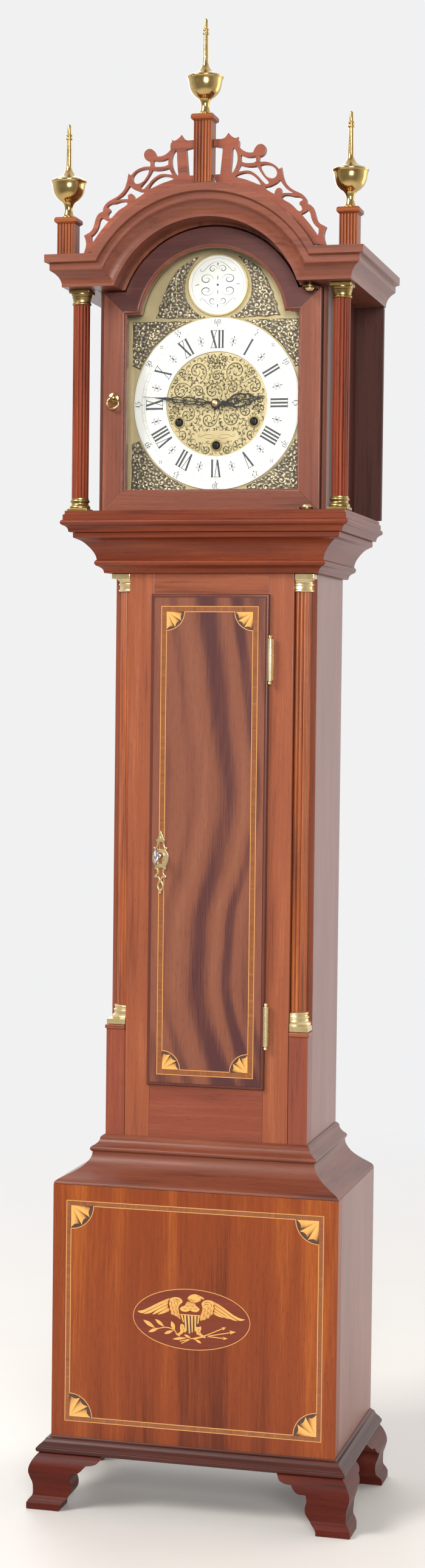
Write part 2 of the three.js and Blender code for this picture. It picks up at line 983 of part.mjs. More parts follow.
const boardTop = arc(100, 0, ARCH_Z, boardEnd, Math.PI - boardEnd, 20);
const boardOutline = (z0) => [
  [-HOOD_HALF, z0],
  [HOOD_HALF, z0],
  [HOOD_HALF, 1063.8],
  ...boardTop,
  [-HOOD_HALF, 1063.8],
];
// The mask behind the door; above the shoulders it comes forward to meet the cornice.
put(
  hoodGroup,
  "hood_front_frame",
  cut(
    join(
      alongY(boardOutline(HOOD_TOP + GAP), 32, 43),
      alongY(boardOutline(SOFFIT), 25, 33),
    ),
    alongY(breakArch(95.6, 850, HD_SHOULDER + 0.9, 81.6, ARCH_Z, 20), 20, 36.5),
    alongY(breakArch(77.5, 871, 1024, 66, 1014, 20), 20, 50),
  ),
  M.amber(),
);
// Cornice: cove and fillets carried round the sides, along the front and over the arch.
const CORNICE = [
  [0, 0],
  [3.4, 0.5],
  [7.4, 1.9],
  [11, 4.8],
  [13.3, 8.4],
  [18.6, 8.4],
  [19.3, 12],
  [CORNICE_H, 12],
  [CORNICE_H, -24.7],
  [0, -24.7],
];
const CORNICE_ARC = 22;
const springAngle = (o) => Math.asin((SOFFIT + o - ARCH_Z) / (ARCH_LIP + o));
const corniceRings = [
  CORNICE.map(([o, q]) => [-CORNICE_HALF - q, BACK, SOFFIT + o]),
  CORNICE.map(([o, q]) => [-CORNICE_HALF - q, -q, SOFFIT + o]),
];
for (let i = 0; i <= CORNICE_ARC; i++)
  corniceRings.push(
    CORNICE.map(([o, q]) => {
      const a0 = springAngle(o),
        a = Math.PI - a0 - ((Math.PI - 2 * a0) * i) / CORNICE_ARC;
      return [
        (ARCH_LIP + o) * Math.cos(a),
        -q,
        ARCH_Z + (ARCH_LIP + o) * Math.sin(a),
      ];
    }),
  );
corniceRings.push(
  CORNICE.map(([o, q]) => [CORNICE_HALF + q, -q, SOFFIT + o]),
  CORNICE.map(([o, q]) => [CORNICE_HALF + q, BACK, SOFFIT + o]),
);
put(
  hoodGroup,
  "hood_cornice",
  cut(closeLoft(loft(corniceRings), CORNICE), pinHole(1030, 1049)),
  M.mahogany(),
);
// Bonnet: a barrel roof with narrow flats over the sides.
const ROOF_R = 105;
const roofOut = Math.asin((1069.1 - ARCH_Z) / ROOF_R),
  roofIn = Math.asin((1064.1 - ARCH_Z) / 100.4);
put(
  hoodGroup,
  "hood_roof",
  alongY(
    [
      [-HOOD_HALF, 1064.1],
      [-HOOD_HALF, 1069.1],
      ...arc(ROOF_R, 0, ARCH_Z, Math.PI - roofOut, roofOut, 18),
      [HOOD_HALF, 1069.1],
      [HOOD_HALF, 1064.1],
      ...arc(100.4, 0, ARCH_Z, roofIn, Math.PI - roofIn, 18),
    ],
    25,
    HOOD_BACK,
  ),
  M.secondary(),
);
// Free-standing columns with their bases and capitals.
const column = (x) =>
  join(
    box(x - 8.9, x + 8.9, COLUMN_Y - 8.9, COLUMN_Y + 8.9, HOOD_TOP + GAP, 857.2),
    turned(
      [
        [0, 856.8],
        [8.6, 856.8],
        [8.8, 858.4],
        [7.4, 860.4],
        [7.4, 863],
        [8, 864.6],
        [7.15, 866],
        [7.15, 1031],
        [8, 1031.6],
        [7.6, 1034],
        [8.6, 1040.4],
        [0, 1040.4],
      ],
      x,
      COLUMN_Y,
      16,
    ),
    box(x - 9, x + 9, COLUMN_Y - 9, COLUMN_Y + 9, 1040, SOFFIT - GAP),
  );
put(hoodGroup, "hood_column_left", column(-COLUMN_X), M.amber());
put(hoodGroup, "hood_column_right", column(COLUMN_X), M.amber());

// Pierced scroll fretwork between the centre plinth and the shoulders.
const FRET_EDGE = [
  [-104.9, 1069.6], [-103.6, 1073.0], [-102.6, 1077.1], [-102.9, 1081.1], [-104.5, 1085.3], [-101.9, 1086.7],
  [-99.2, 1088.2], [-97.1, 1090.4], [-95.5, 1094.7], [-94.2, 1099.2], [-92.4, 1102.4], [-90.3, 1104.1],
  [-88.1, 1104.8], [-87.6, 1108.1], [-86.0, 1110.6], [-83.4, 1113.0], [-79.7, 1114.9], [-76.0, 1116.8],
  [-72.8, 1119.2], [-69.6, 1122.7], [-68.1, 1126.2], [-67.0, 1129.7], [-66.5, 1132.7], [-65.9, 1135.7],
  [-64.7, 1134.6], [-63.4, 1134.6], [-61.3, 1136.8], [-58.1, 1138.9], [-54.4, 1140.3], [-50.7, 1140.9],
  [-47.3, 1140.8], [-46.8, 1142.5], [-47.3, 1144.8], [-49.7, 1145.7], [-51.6, 1147.5], [-52.5, 1150.1],
  [-52.2, 1152.6], [-50.9, 1154.3], [-49.0, 1155.3], [-46.9, 1155.4], [-44.8, 1154.5], [-43.2, 1152.7],
  [-42.2, 1150.7], [-41.5, 1149.0], [-39.2, 1148.8], [-36.5, 1149.2], [-33.9, 1150.3], [-31.5, 1152.0],
  [-29.5, 1153.9], [-29.7, 1157.0], [-29.3, 1159.2], [-28.2, 1160.7], [-28.9, 1162.0], [-26.1, 1161.3],
  [-24.0, 1162.3], [-21.9, 1163.9], [-20.1, 1165.9], [-18.5, 1163.5], [-16.9, 1161.9], [-14.6, 1161.0],
  [-8.0, 1161.1], [-8.0, 1154.9], [-15.6, 1153.4], [-14.7, 1143.2], [-13.6, 1132.0], [-8.0, 1131.8],
];
const FRET_HOLES = [
  [[-24.7, 1153.5], [-26.8, 1150.8], [-28.0, 1147.3], [-28.2, 1143.3], [-27.4, 1139.2], [-25.8, 1135.6],
   [-23.7, 1132.8], [-22.6, 1132.7], [-23.2, 1139.1], [-23.7, 1145.6], [-24.0, 1151.7]],
  [[-43.9, 1145.2], [-40.2, 1144.8], [-36.0, 1145.1], [-32.8, 1146.1], [-31.2, 1146.9], [-31.4, 1141.7],
   [-34.8, 1140.5], [-39.1, 1140.2], [-42.8, 1140.6], [-44.2, 1141.9]],
  [[-45.1, 1137.3], [-41.1, 1136.9], [-36.9, 1137.1], [-33.2, 1137.8], [-30.9, 1138.5], [-27.9, 1133.2],
   [-31.1, 1133.7], [-34.8, 1134.2], [-38.5, 1133.9], [-42.1, 1132.2], [-45.3, 1129.8], [-47.9, 1126.9],
   [-50.5, 1124.2], [-52.6, 1122.3], [-54.8, 1122.6], [-55.2, 1124.0], [-53.2, 1126.1], [-50.3, 1129.3],
   [-47.7, 1133.0]],
  [[-61.8, 1132.5], [-60.5, 1134.7], [-58.1, 1136.7], [-54.4, 1138.0], [-50.7, 1138.4], [-48.0, 1137.8],
   [-48.5, 1135.5], [-50.4, 1132.1], [-52.7, 1129.1], [-55.9, 1127.2], [-59.0, 1126.9], [-61.2, 1128.4],
   [-62.0, 1130.5]],
  [[-48.4, 1121.8], [-47.1, 1124.3], [-44.7, 1127.3], [-41.6, 1129.8], [-38.4, 1131.4], [-34.8, 1132.1],
   [-31.1, 1131.5], [-27.9, 1130.4], [-26.5, 1129.4], [-30.5, 1128.2], [-35.7, 1126.7], [-41.5, 1124.4],
   [-45.2, 1122.8]],
  [[-64.6, 1125.1], [-62.2, 1123.0], [-59.0, 1121.3], [-55.8, 1120.1], [-52.6, 1119.6], [-52.1, 1118.8],
   [-54.7, 1117.0], [-57.9, 1115.1], [-60.1, 1114.0], [-60.4, 1115.7], [-61.3, 1117.5], [-62.9, 1118.7],
   [-64.8, 1118.7], [-66.0, 1117.7], [-66.2, 1114.5], [-69.0, 1114.5], [-72.7, 1114.4], [-76.2, 1114.1],
   [-73.8, 1115.6], [-70.6, 1117.6], [-68.0, 1120.6], [-65.9, 1123.5]],
  [[-71.7, 1112.2], [-68.5, 1112.1], [-66.2, 1110.6], [-68.9, 1108.4], [-72.7, 1106.3], [-75.8, 1103.9],
   [-78.2, 1101.4], [-80.0, 1099.7], [-81.6, 1098.9], [-83.0, 1099.6], [-83.6, 1101.1], [-83.0, 1102.9],
   [-81.3, 1104.6], [-81.7, 1106.6], [-84.3, 1108.2], [-82.9, 1109.7], [-80.7, 1110.6], [-77.0, 1111.0],
   [-74.3, 1111.7]],
  [[-88.3, 1099.4], [-86.4, 1097.9], [-83.2, 1096.4], [-86.4, 1092.8], [-90.1, 1088.4], [-93.8, 1083.4],
   [-97.2, 1078.7], [-97.8, 1081.0], [-98.0, 1084.3], [-95.4, 1086.5], [-93.3, 1089.2], [-91.7, 1093.0],
   [-90.9, 1096.3], [-89.8, 1098.5]],
];
const FRET_R = ARCH_LIP + CORNICE_H + 0.4;
const fretEnd = Math.acos(8 / FRET_R),
  fretStart = Math.asin((1069.6 - ARCH_Z) / FRET_R);
const fretOutline = [
  ...FRET_EDGE,
  ...arc(FRET_R, 0, ARCH_Z, Math.PI - fretEnd, Math.PI - fretStart, 12),
];
put(
  hoodGroup,
  "fretwork_left",
  cut(
    alongY(fretOutline, -4.5, 0.5),
    ...FRET_HOLES.map((h) => alongY(h, -9, 9)),
  ),
  M.mahogany(),
);
put(
  hoodGroup,
  "fretwork_right",
  cut(
    alongY(mirrored(fretOutline), -4.5, 0.5),
    ...FRET_HOLES.map((h) => alongY(mirrored(h), -9, 9)),
  ),
  M.mahogany(),
);

// Plinths and turned urn finials.
const FINIAL = [
  [0, 0],
  [6.7, 0],
  [6.5, 1],
  [4.6, 1.8],
  [4.1, 3.8],
  [3.4, 6.4],
  [4.1, 11.4],
  [5.7, 13.5],
  [8.8, 15.5],
  [11.9, 19.2],
  [13.7, 24.4],
  [14, 28],
  [FINIAL_R, 31],
  [14.8, 33.6],
  [7.8, 34.7],
  [4.1, 38.9],
  [3.1, 40],
  [2.3, 67.2],
  [3.1, 70.8],
  [2.1, 75],
  [0, 79.9],
];
const PLINTHS = [
  ["left", -121.9, 7.6, 1069.4, 1096.5, 1102.2, 79.5],
  ["center", 0, CREST_Y, 1124.9, 1175.2, 1181, 79.9],
  ["right", 121.9, 7.6, 1069.4, 1096.5, 1102.2, 79.5],
];
for (const [name, x, y, z0, z1, z2, tall] of PLINTHS) {
  put(
    hoodGroup,
    "plinth_" + name,
    join(
      box(x - 7.6, x + 7.6, y - 7.6, y + 7.6, z0, z1 + 0.5),
      box(x - 9.6, x + 9.6, y - 9.6, y + 9.6, z1, z2),
    ),
    M.amber(),
  );
  put(
    hoodGroup,
    "finial_" + name,
    turned(
      FINIAL.map(([r, z]) => [r, z2 + GAP + (z * tall) / 79.9]),
      x,
      y,
      12,
    ),
    M.brass(),
  );
}

// ---------------------------------------------------------------- hood door
put(
  hoodDoorGroup,
  "hood_door_frame",
  cut(
    alongY(
      breakArch(HD_HALF, HD_Z0, HD_SHOULDER, HD_ARCH, ARCH_Z, 22),
      HD_FRONT,
      HD_BACK,
    ),
    alongY(breakArch(75.2, 873.8, 1022.5, 63.6, 1014, 20), 20, 50),
    alongY(breakArch(78.2, 870.8, 1025.5, 66.6, 1014, 20), 29, 50),
  ),
  M.mahogany(),
);
put(
  hoodDoorGroup,
  "hood_door_glass",
  alongY(breakArch(77.8, 871.2, 1025.1, 66.2, 1014, 20), 29.3, 31.3),
  M.glass(),
);
// Offset pivot straps screwed to the face of the door; their pins turn in the cornice and the hood base.
for (const [name, z0, z1, p0, p1] of [
  ["upper", 1038.2, 1042.9, 1041, 1048],
  ["lower", 854.9, 859.4, 849.5, 856],
]) {
  put(
    hoodDoorGroup,
    "hood_hinge_" + name,
    join(
      alongZ(
        [
          [HP_X - 6.3, HD_FRONT - GAP],
          [HP_X + 6.3, HD_FRONT - GAP],
          ...arc(6.3, HP_X, HP_Y, 0, -Math.PI, 10),
        ].reverse(),
        z0,
        z1,
      ),
      barZ(1.6, HP_X, HP_Y, p0, p1, 12),
    ),
    M.brass(),
  );
}
// Ring pull hanging in the eye of its post.
const RING = { x: -85.2, y: 20.8, z: 951.6, R: 4.6, r: 0.8 };
put(
  hoodDoorGroup,
  "hood_pull_post",
  cut(
    join(
      barY(2.2, RING.x, RING.z, 18.4, HD_FRONT - GAP, 12),
      barY(4.2, RING.x, RING.z, 23.1, HD_FRONT - GAP, 16),
    ),
    barX(1.5, RING.y, RING.z - 0.4, RING.x - 9, RING.x + 9, 12),
  ),
  M.brass(),
);
put(
  hoodDoorGroup,
  "hood_pull_ring",
  solid(
    new THREE.TorusGeometry(RING.R, RING.r, 8, 20)
      .rotateX(Math.PI / 2)
      .translate(RING.x, RING.y, RING.z - RING.R),
  ),
  M.brass(),
);

export default root;
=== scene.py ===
import math
import random
import zlib

import bmesh
import bpy
import numpy as np
from mathutils import Matrix, Vector


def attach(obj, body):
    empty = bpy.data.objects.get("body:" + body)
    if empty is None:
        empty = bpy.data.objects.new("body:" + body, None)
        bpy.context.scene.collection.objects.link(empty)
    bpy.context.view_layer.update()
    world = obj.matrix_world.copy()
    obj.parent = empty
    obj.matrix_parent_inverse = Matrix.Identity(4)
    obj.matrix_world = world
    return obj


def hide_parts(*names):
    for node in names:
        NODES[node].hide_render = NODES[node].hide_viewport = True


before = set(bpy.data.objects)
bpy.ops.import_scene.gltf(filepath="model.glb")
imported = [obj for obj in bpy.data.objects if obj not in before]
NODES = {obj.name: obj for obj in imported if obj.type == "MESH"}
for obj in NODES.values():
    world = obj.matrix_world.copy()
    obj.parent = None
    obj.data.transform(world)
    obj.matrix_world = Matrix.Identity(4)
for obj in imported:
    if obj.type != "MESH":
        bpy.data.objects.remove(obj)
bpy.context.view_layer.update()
MM = 0.001
CY = 70.15  # y of the origin in the case's own frame
PI = math.pi


# ------------------------------------------------------------------ mesh helpers
class Acc:
    """Vertices and faces of one piece, with a grain direction, a material and a shade for each face."""

    def __init__(self):
        self.v, self.f, self.t, self.m, self.s = [], [], [], [], []

    def add(self, verts, faces, tag="z", mi=0, shade=1.0):
        o = len(self.v)
        self.v += [tuple(map(float, p)) for p in verts]
        self.s += list(shade) if hasattr(shade, "__len__") else [shade] * len(verts)
        self.f += [tuple(o + i for i in f) for f in faces]
        self.t += [tag] * len(faces)
        self.m += [mi] * len(faces)
        return self


def bevelled(verts, faces, width, seg=2, angle=28):
    bm = bmesh.new()
    vs = [bm.verts.new(v) for v in verts]
    for f in faces:
        bm.faces.new([vs[i] for i in f])
    bmesh.ops.remove_doubles(bm, verts=bm.verts, dist=1e-4)
    bmesh.ops.recalc_face_normals(bm, faces=bm.faces)
    if width > 0:
        edges = [
            e
            for e in bm.edges
            if len(e.link_faces) == 2 and e.calc_face_angle(0) > math.radians(angle)
        ]
        bmesh.ops.bevel(
            bm,
            geom=edges,
            offset=width,
            offset_type="OFFSET",
            segments=seg,
            profile=0.5,
            affect="EDGES",
            clamp_overlap=True,
        )
    bm.verts.index_update()
    out = (
        [tuple(v.co) for v in bm.verts],
        [[v.index for v in f.verts] for f in bm.faces],
    )
    bm.free()
    return out


def box(x0, x1, y0, y1, z0, z1, bev=0.6, seg=2):
    v = [(x, y, z) for z in (z0, z1) for y in (y0, y1) for x in (x0, x1)]
    f = [
        (0, 2, 3, 1),
        (4, 5, 7, 6),
        (0, 1, 5, 4),
        (2, 6, 7, 3),
        (0, 4, 6, 2),
        (1, 3, 7, 5),
    ]
    return bevelled(v, f, bev, seg)


def clean(loop, eps=1e-5):
    out = []
    for p in loop:
        if not out or math.hypot(p[0] - out[-1][0], p[1] - out[-1][1]) > eps:
            out.append(p)
    if math.hypot(out[0][0] - out[-1][0], out[0][1] - out[-1][1]) <= eps:
        out.pop()
    return out


def prism(loop, lo, hi, axis="y", bev=0.0, seg=2, angle=28):
    """A solid from an outline: (x, z) swept along y, (x, y) swept along z, or (y, z) swept along x."""
    loop = clean(loop)
    n = len(loop)
    put = {
        "y": lambda a, b, c: (a, c, b),
        "z": lambda a, b, c: (a, b, c),
        "x": lambda a, b, c: (c, a, b),
    }[axis]
    v = [put(a, b, lo) for a, b in loop] + [put(a, b, hi) for a, b in loop]
    f = [tuple(range(n)), tuple(range(2 * n - 1, n - 1, -1))]
    f += [(i, (i + 1) % n, n + (i + 1) % n, n + i) for i in range(n)]
    return bevelled(v, f, bev, seg, angle)


def holed(loops, y0, y1, bev=0.3, res=1):
    """A flat piece in the xz plane with holes and rounded rims, from y0 (front) to y1 (back)."""
    cu = bpy.data.curves.new("outline", "CURVE")
    cu.dimensions = "2D"
    cu.fill_mode = "BOTH"
    for loop in loops:
        loop = clean(loop)
        sp = cu.splines.new("POLY")
        sp.points.add(len(loop) - 1)
        for p, (a, b) in zip(sp.points, loop):
            p.co = (a, b, 0, 1)
        sp.use_cyclic_u = True
    cu.extrude = (y1 - y0) / 2 - bev
    cu.bevel_depth = bev
    cu.bevel_resolution = res
    cu.offset = -bev
    ob = bpy.data.objects.new("outline", cu)
    bpy.context.scene.collection.objects.link(ob)
    bpy.context.view_layer.update()
    me = bpy.data.meshes.new_from_object(
        ob.evaluated_get(bpy.context.evaluated_depsgraph_get())
    )
    mid = (y0 + y1) / 2
    v = [(p.co.x, mid - p.co.z, p.co.y) for p in me.vertices]
    f = [tuple(p.vertices) for p in me.polygons]
    bpy.data.objects.remove(ob)
    bpy.data.curves.remove(cu)
    bpy.data.meshes.remove(me)
    return bevelled(v, f, 0)


def lathe(profile, at, seg=48, axis="z", closed=False, a0=0.0, a1=2 * PI):
    """A turned solid: profile of (radius, height) about an axis through at."""
    put = {
        "z": lambda r, a, h: (at[0] + r * math.cos(a), at[1] + r * math.sin(a), h),
        "y": lambda r, a, h: (at[0] + r * math.cos(a), h, at[1] + r * math.sin(a)),
    }[axis]
    v, rows = [], []
    for r, h in profile:
        if r < 1e-6:
            rows.append([len(v)])
            v.append(put(0, 0, h))
        else:
            rows.append(list(range(len(v), len(v) + seg)))
            v += [put(r, 2 * PI * i / seg, h) for i in range(seg)]
    f = []
    pairs = list(zip(rows, rows[1:]))
    if closed:
        pairs.append((rows[-1], rows[0]))
    for a, b in pairs:
        for i in range(seg):
            j = (i + 1) % seg
            if len(a) == 1 and len(b) == 1:
                continue
            if len(a) == 1:
                f.append((a[0], b[j], b[i]))
            elif len(b) == 1:
                f.append((a[i], a[j], b[0]))
            else:
                f.append((a[i], a[j], b[j], b[i]))
    return bevelled(v, f, 0)


def loft(rings, caps=True, close=False):
    n = len(rings[0])
    v = [p for r in rings for p in r]
    f = []
    m = len(rings)
    for i in range(m if close else m - 1):
        a, b = i * n, ((i + 1) % m) * n
        f += [(a + j, a + (j + 1) % n, b + (j + 1) % n, b + j) for j in range(n)]
    if caps and not close:
        f += [tuple(range(n - 1, -1, -1)), tuple(range((m - 1) * n, m * n))]
    return v, f


def spline(pts, sharp=(), sub=5, ease=0.0):
    """A smooth line through pts, broken at the sharp ones; ease rounds those corners a little."""
    pts = [np.array(p, float) for p in pts]
    n = len(pts)
    stops = sorted(set([0, n - 1]) | set(sharp))
    out, corners = [], []
    for a, b in zip(stops, stops[1:]):
        run = pts[a : b + 1]
        corners.append(len(out))
        if len(run) == 2:
            out.append(run[0])
            continue
        ext = [2 * run[0] - run[1]] + run + [2 * run[-1] - run[-2]]
        for i in range(1, len(ext) - 2):
            p0, p1, p2, p3 = ext[i - 1 : i + 3]
            t = [0.0]
            for u, w in ((p0, p1), (p1, p2), (p2, p3)):
                t.append(t[-1] + max(np.linalg.norm(w - u), 1e-9) ** 0.5)
            for k in range(sub):
                s = t[1] + (t[2] - t[1]) * k / sub
                a1 = (t[1] - s) / (t[1] - t[0]) * p0 + (s - t[0]) / (t[1] - t[0]) * p1
                a2 = (t[2] - s) / (t[2] - t[1]) * p1 + (s - t[1]) / (t[2] - t[1]) * p2
                a3 = (t[3] - s) / (t[3] - t[2]) * p2 + (s - t[2]) / (t[3] - t[2]) * p3
                b1 = (t[2] - s) / (t[2] - t[0]) * a1 + (s - t[0]) / (t[2] - t[0]) * a2
                b2 = (t[3] - s) / (t[3] - t[1]) * a2 + (s - t[1]) / (t[3] - t[1]) * a3
                out.append((t[2] - s) / (t[2] - t[1]) * b1 + (s - t[1]) / (t[2] - t[1]) * b2)
    out.append(pts[-1])
    if ease <= 0:
        return [tuple(p) for p in out]
    eased = []
    for i, p in enumerate(out):
        if i in corners[1:]:
            a, b = out[i - 1] - p, out[i + 1] - p
            la, lb = np.linalg.norm(a), np.linalg.norm(b)
            e = min(ease, 0.4 * la, 0.4 * lb)
            pa, pb = p + a / la * e, p + b / lb * e
            eased += [pa, 0.25 * pa + 0.5 * p + 0.25 * pb, pb]
        else:
            eased.append(p)
    return [tuple(p) for p in eased]


def smooth_loop(pts, corner=48, sub=4):
    """A closed outline drawn smoothly through its points, with its real corners kept."""
    pts = clean(pts)
    n = len(pts)
    sharp = []
    for i in range(n):
        a, b, c = pts[i - 1], pts[i], pts[(i + 1) % n]
        t = math.atan2(c[1] - b[1], c[0] - b[0]) - math.atan2(b[1] - a[1], b[0] - a[0])
        if abs((t + PI) % (2 * PI) - PI) > math.radians(corner):
            sharp.append(i)
    if not sharp:
        ring = pts[-2:] + pts + pts[:3]
        return clean(spline(ring, sub=sub)[2 * sub : (n + 2) * sub])
    s = sharp[0]
    run = pts[s:] + pts[: s + 1]
    return clean(spline(run, [(i - s) % n for i in sharp], sub)[:-1])


def arc(r, cx, cz, a0, a1, n):
    return [
        (
            cx + r * math.cos(a0 + (a1 - a0) * i / n),
            cz + r * math.sin(a0 + (a1 - a0) * i / n),
        )
        for i in range(n + 1)
    ]


def break_arch(half, z0, shoulder, r, cz, n=56):
    a = math.asin((shoulder - cz) / r)
    return [(-half, z0), (half, z0), (half, shoulder)] + arc(r, 0, cz, a, PI - a, n) + [
        (-half, shoulder)
    ]


def ribbon(pts, widths, y0, y1):
    """A flat stroke in the xz plane with a width at each point, as a thin closed solid."""
    pts = [np.array(p, float) for p in pts]
    n = len(pts)
    if not hasattr(widths, "__len__"):
        widths = [widths] * n
    left, right = [], []
    for i, p in enumerate(pts):
        d = pts[min(i + 1, n - 1)] - pts[max(i - 1, 0)]
        d = d / max(np.linalg.norm(d), 1e-9)
        q = np.array([-d[1], d[0]]) * widths[i] / 2
        left.append(p + q)
        right.append(p - q)
    loop = left + right[::-1]
    m = len(loop)
    v = [(a, y0, b) for a, b in loop] + [(a, y1, b) for a, b in loop]
    f = []
    for i in range(n - 1):
        j = m - 1 - i
        f.append((i, i + 1, j - 1, j))
        f.append((m + i, m + j, m + j - 1, m + i + 1))
    f += [(i, m + i, m + (i + 1) % m, (i + 1) % m) for i in range(m)]
    return v, f


def tube(path, radius, seg=10, close=False, squash=None):
    """A round bar along a path of 3-D points; radius is one number or one for each point."""
    path = [np.array(p, float) for p in path]
    n = len(path)
    if not hasattr(radius, "__len__"):
        radius = [radius] * n
    rings, up = [], None
    for i, p in enumerate(path):
        a = path[(i - 1) % n] if close or i else path[i]
        b = path[(i + 1) % n] if close or i < n - 1 else path[i]
        d = (b - a) / max(np.linalg.norm(b - a), 1e-9)
        if up is None:
            up = np.array([0, 1.0, 0]) if abs(d[1]) < 0.9 else np.array([1.0, 0, 0])
        u = up - d * (up @ d)
        u = u / np.linalg.norm(u)
        up = u
        w = np.cross(d, u)
        k = squash or 1.0
        rings.append(
            [
                tuple(
                    p
                    + radius[i]
                    * (k * u * math.cos(2 * PI * j / seg) + w * math.sin(2 * PI * j / seg))
                )
                for j in range(seg)
            ]
        )
    return loft(rings, caps=not close, close=close)


def joined(parts):
    v, f = [], []
    for a, b in parts:
        o = len(v)
        v += list(a)
        f += [tuple(o + i for i in q) for q in b]
    return v, f


def flip(part):
    v, f = part
    return [(-x, y, z) for x, y, z in v], [tuple(reversed(q)) for q in f]


MADE = {}


def piece(name, acc, mats, body, replaces=(), angle=34):
    me = bpy.data.meshes.new(name)
    co = np.array(acc.v, float)
    co[:, 1] -= CY
    co *= MM
    me.from_pydata(co.tolist(), [], acc.f)
    bm = bmesh.new()
    bm.from_mesh(me)
    bmesh.ops.recalc_face_normals(bm, faces=bm.faces)
    bm.to_mesh(me)
    bm.free()
    loops = np.empty(len(me.loops), np.int64)
    me.loops.foreach_get("vertex_index", loops)
    count = np.empty(len(me.polygons), np.int64)
    me.polygons.foreach_get("loop_total", count)
    at = co[loops]
    tags = np.repeat(np.array(acc.t), count)
    grain = np.zeros_like(at)
    for tag, order in (("x", (0, 2, 1)), ("y", (1, 2, 0)), ("z", (2, 0, 1))):
        pick = tags == tag
        seed = zlib.crc32((name + tag).encode())
        shift = np.array([seed % 97, seed // 97 % 89, seed // 8633 % 83]) * 0.137
        grain[pick] = at[pick][:, order] + shift
    layer = me.attributes.new("grain", "FLOAT_VECTOR", "CORNER")
    layer.data.foreach_set("vector", grain.astype(np.float32).ravel())
    if any(s != 1.0 for s in acc.s):
        layer = me.attributes.new("shade", "FLOAT", "POINT")
        layer.data.foreach_set("value", np.array(acc.s, np.float32))
    me.polygons.foreach_set("use_smooth", [True] * len(me.polygons))
    me.polygons.foreach_set("material_index", acc.m)
    me.set_sharp_from_angle(angle=math.radians(angle))
    ob = bpy.data.objects.new(name, me)
    bpy.context.scene.collection.objects.link(ob)
    for mat in mats if isinstance(mats, (list, tuple)) else [mats]:
        me.materials.append(mat)
    soft = ob.modifiers.new("even_normals", "WEIGHTED_NORMAL")
    soft.keep_sharp = True
    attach(ob, body)
    if replaces:
        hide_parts(*([replaces] if isinstance(replaces, str) else replaces))
    MADE[name] = ob
    return ob


def one(name, part, mats, body, replaces=(), tag="z", angle=34, shade=1.0):
    acc = Acc()
    acc.add(part[0], part[1], tag, 0, shade)
    return piece(name, acc, mats, body, replaces, angle)


def dress(node, mat, bev=0.25, angle=38):
    """A CAD node keeps its own shape and gets a finish and eased edges."""
    ob = NODES[node]
    ob.data.materials.clear()
    ob.data.materials.append(mat)
    weld = ob.modifiers.new("weld", "WELD")
    weld.merge_threshold = 1e-6
    if bev:
        m = ob.modifiers.new("eased_edges", "BEVEL")
        m.width = bev * MM
        m.segments = 2
        m.limit_method = "ANGLE"
        m.angle_limit = math.radians(angle)
        m.harden_normals = False
    soft = ob.modifiers.new("even_normals", "WEIGHTED_NORMAL")
    soft.keep_sharp = True


# ------------------------------------------------------------------ material helpers
def lin(r, g, b):
    f = lambda c: c / 12.92 if c <= 0.04045 else ((c + 0.055) / 1.055) ** 2.4
    return (f(r / 255), f(g / 255), f(b / 255), 1.0)


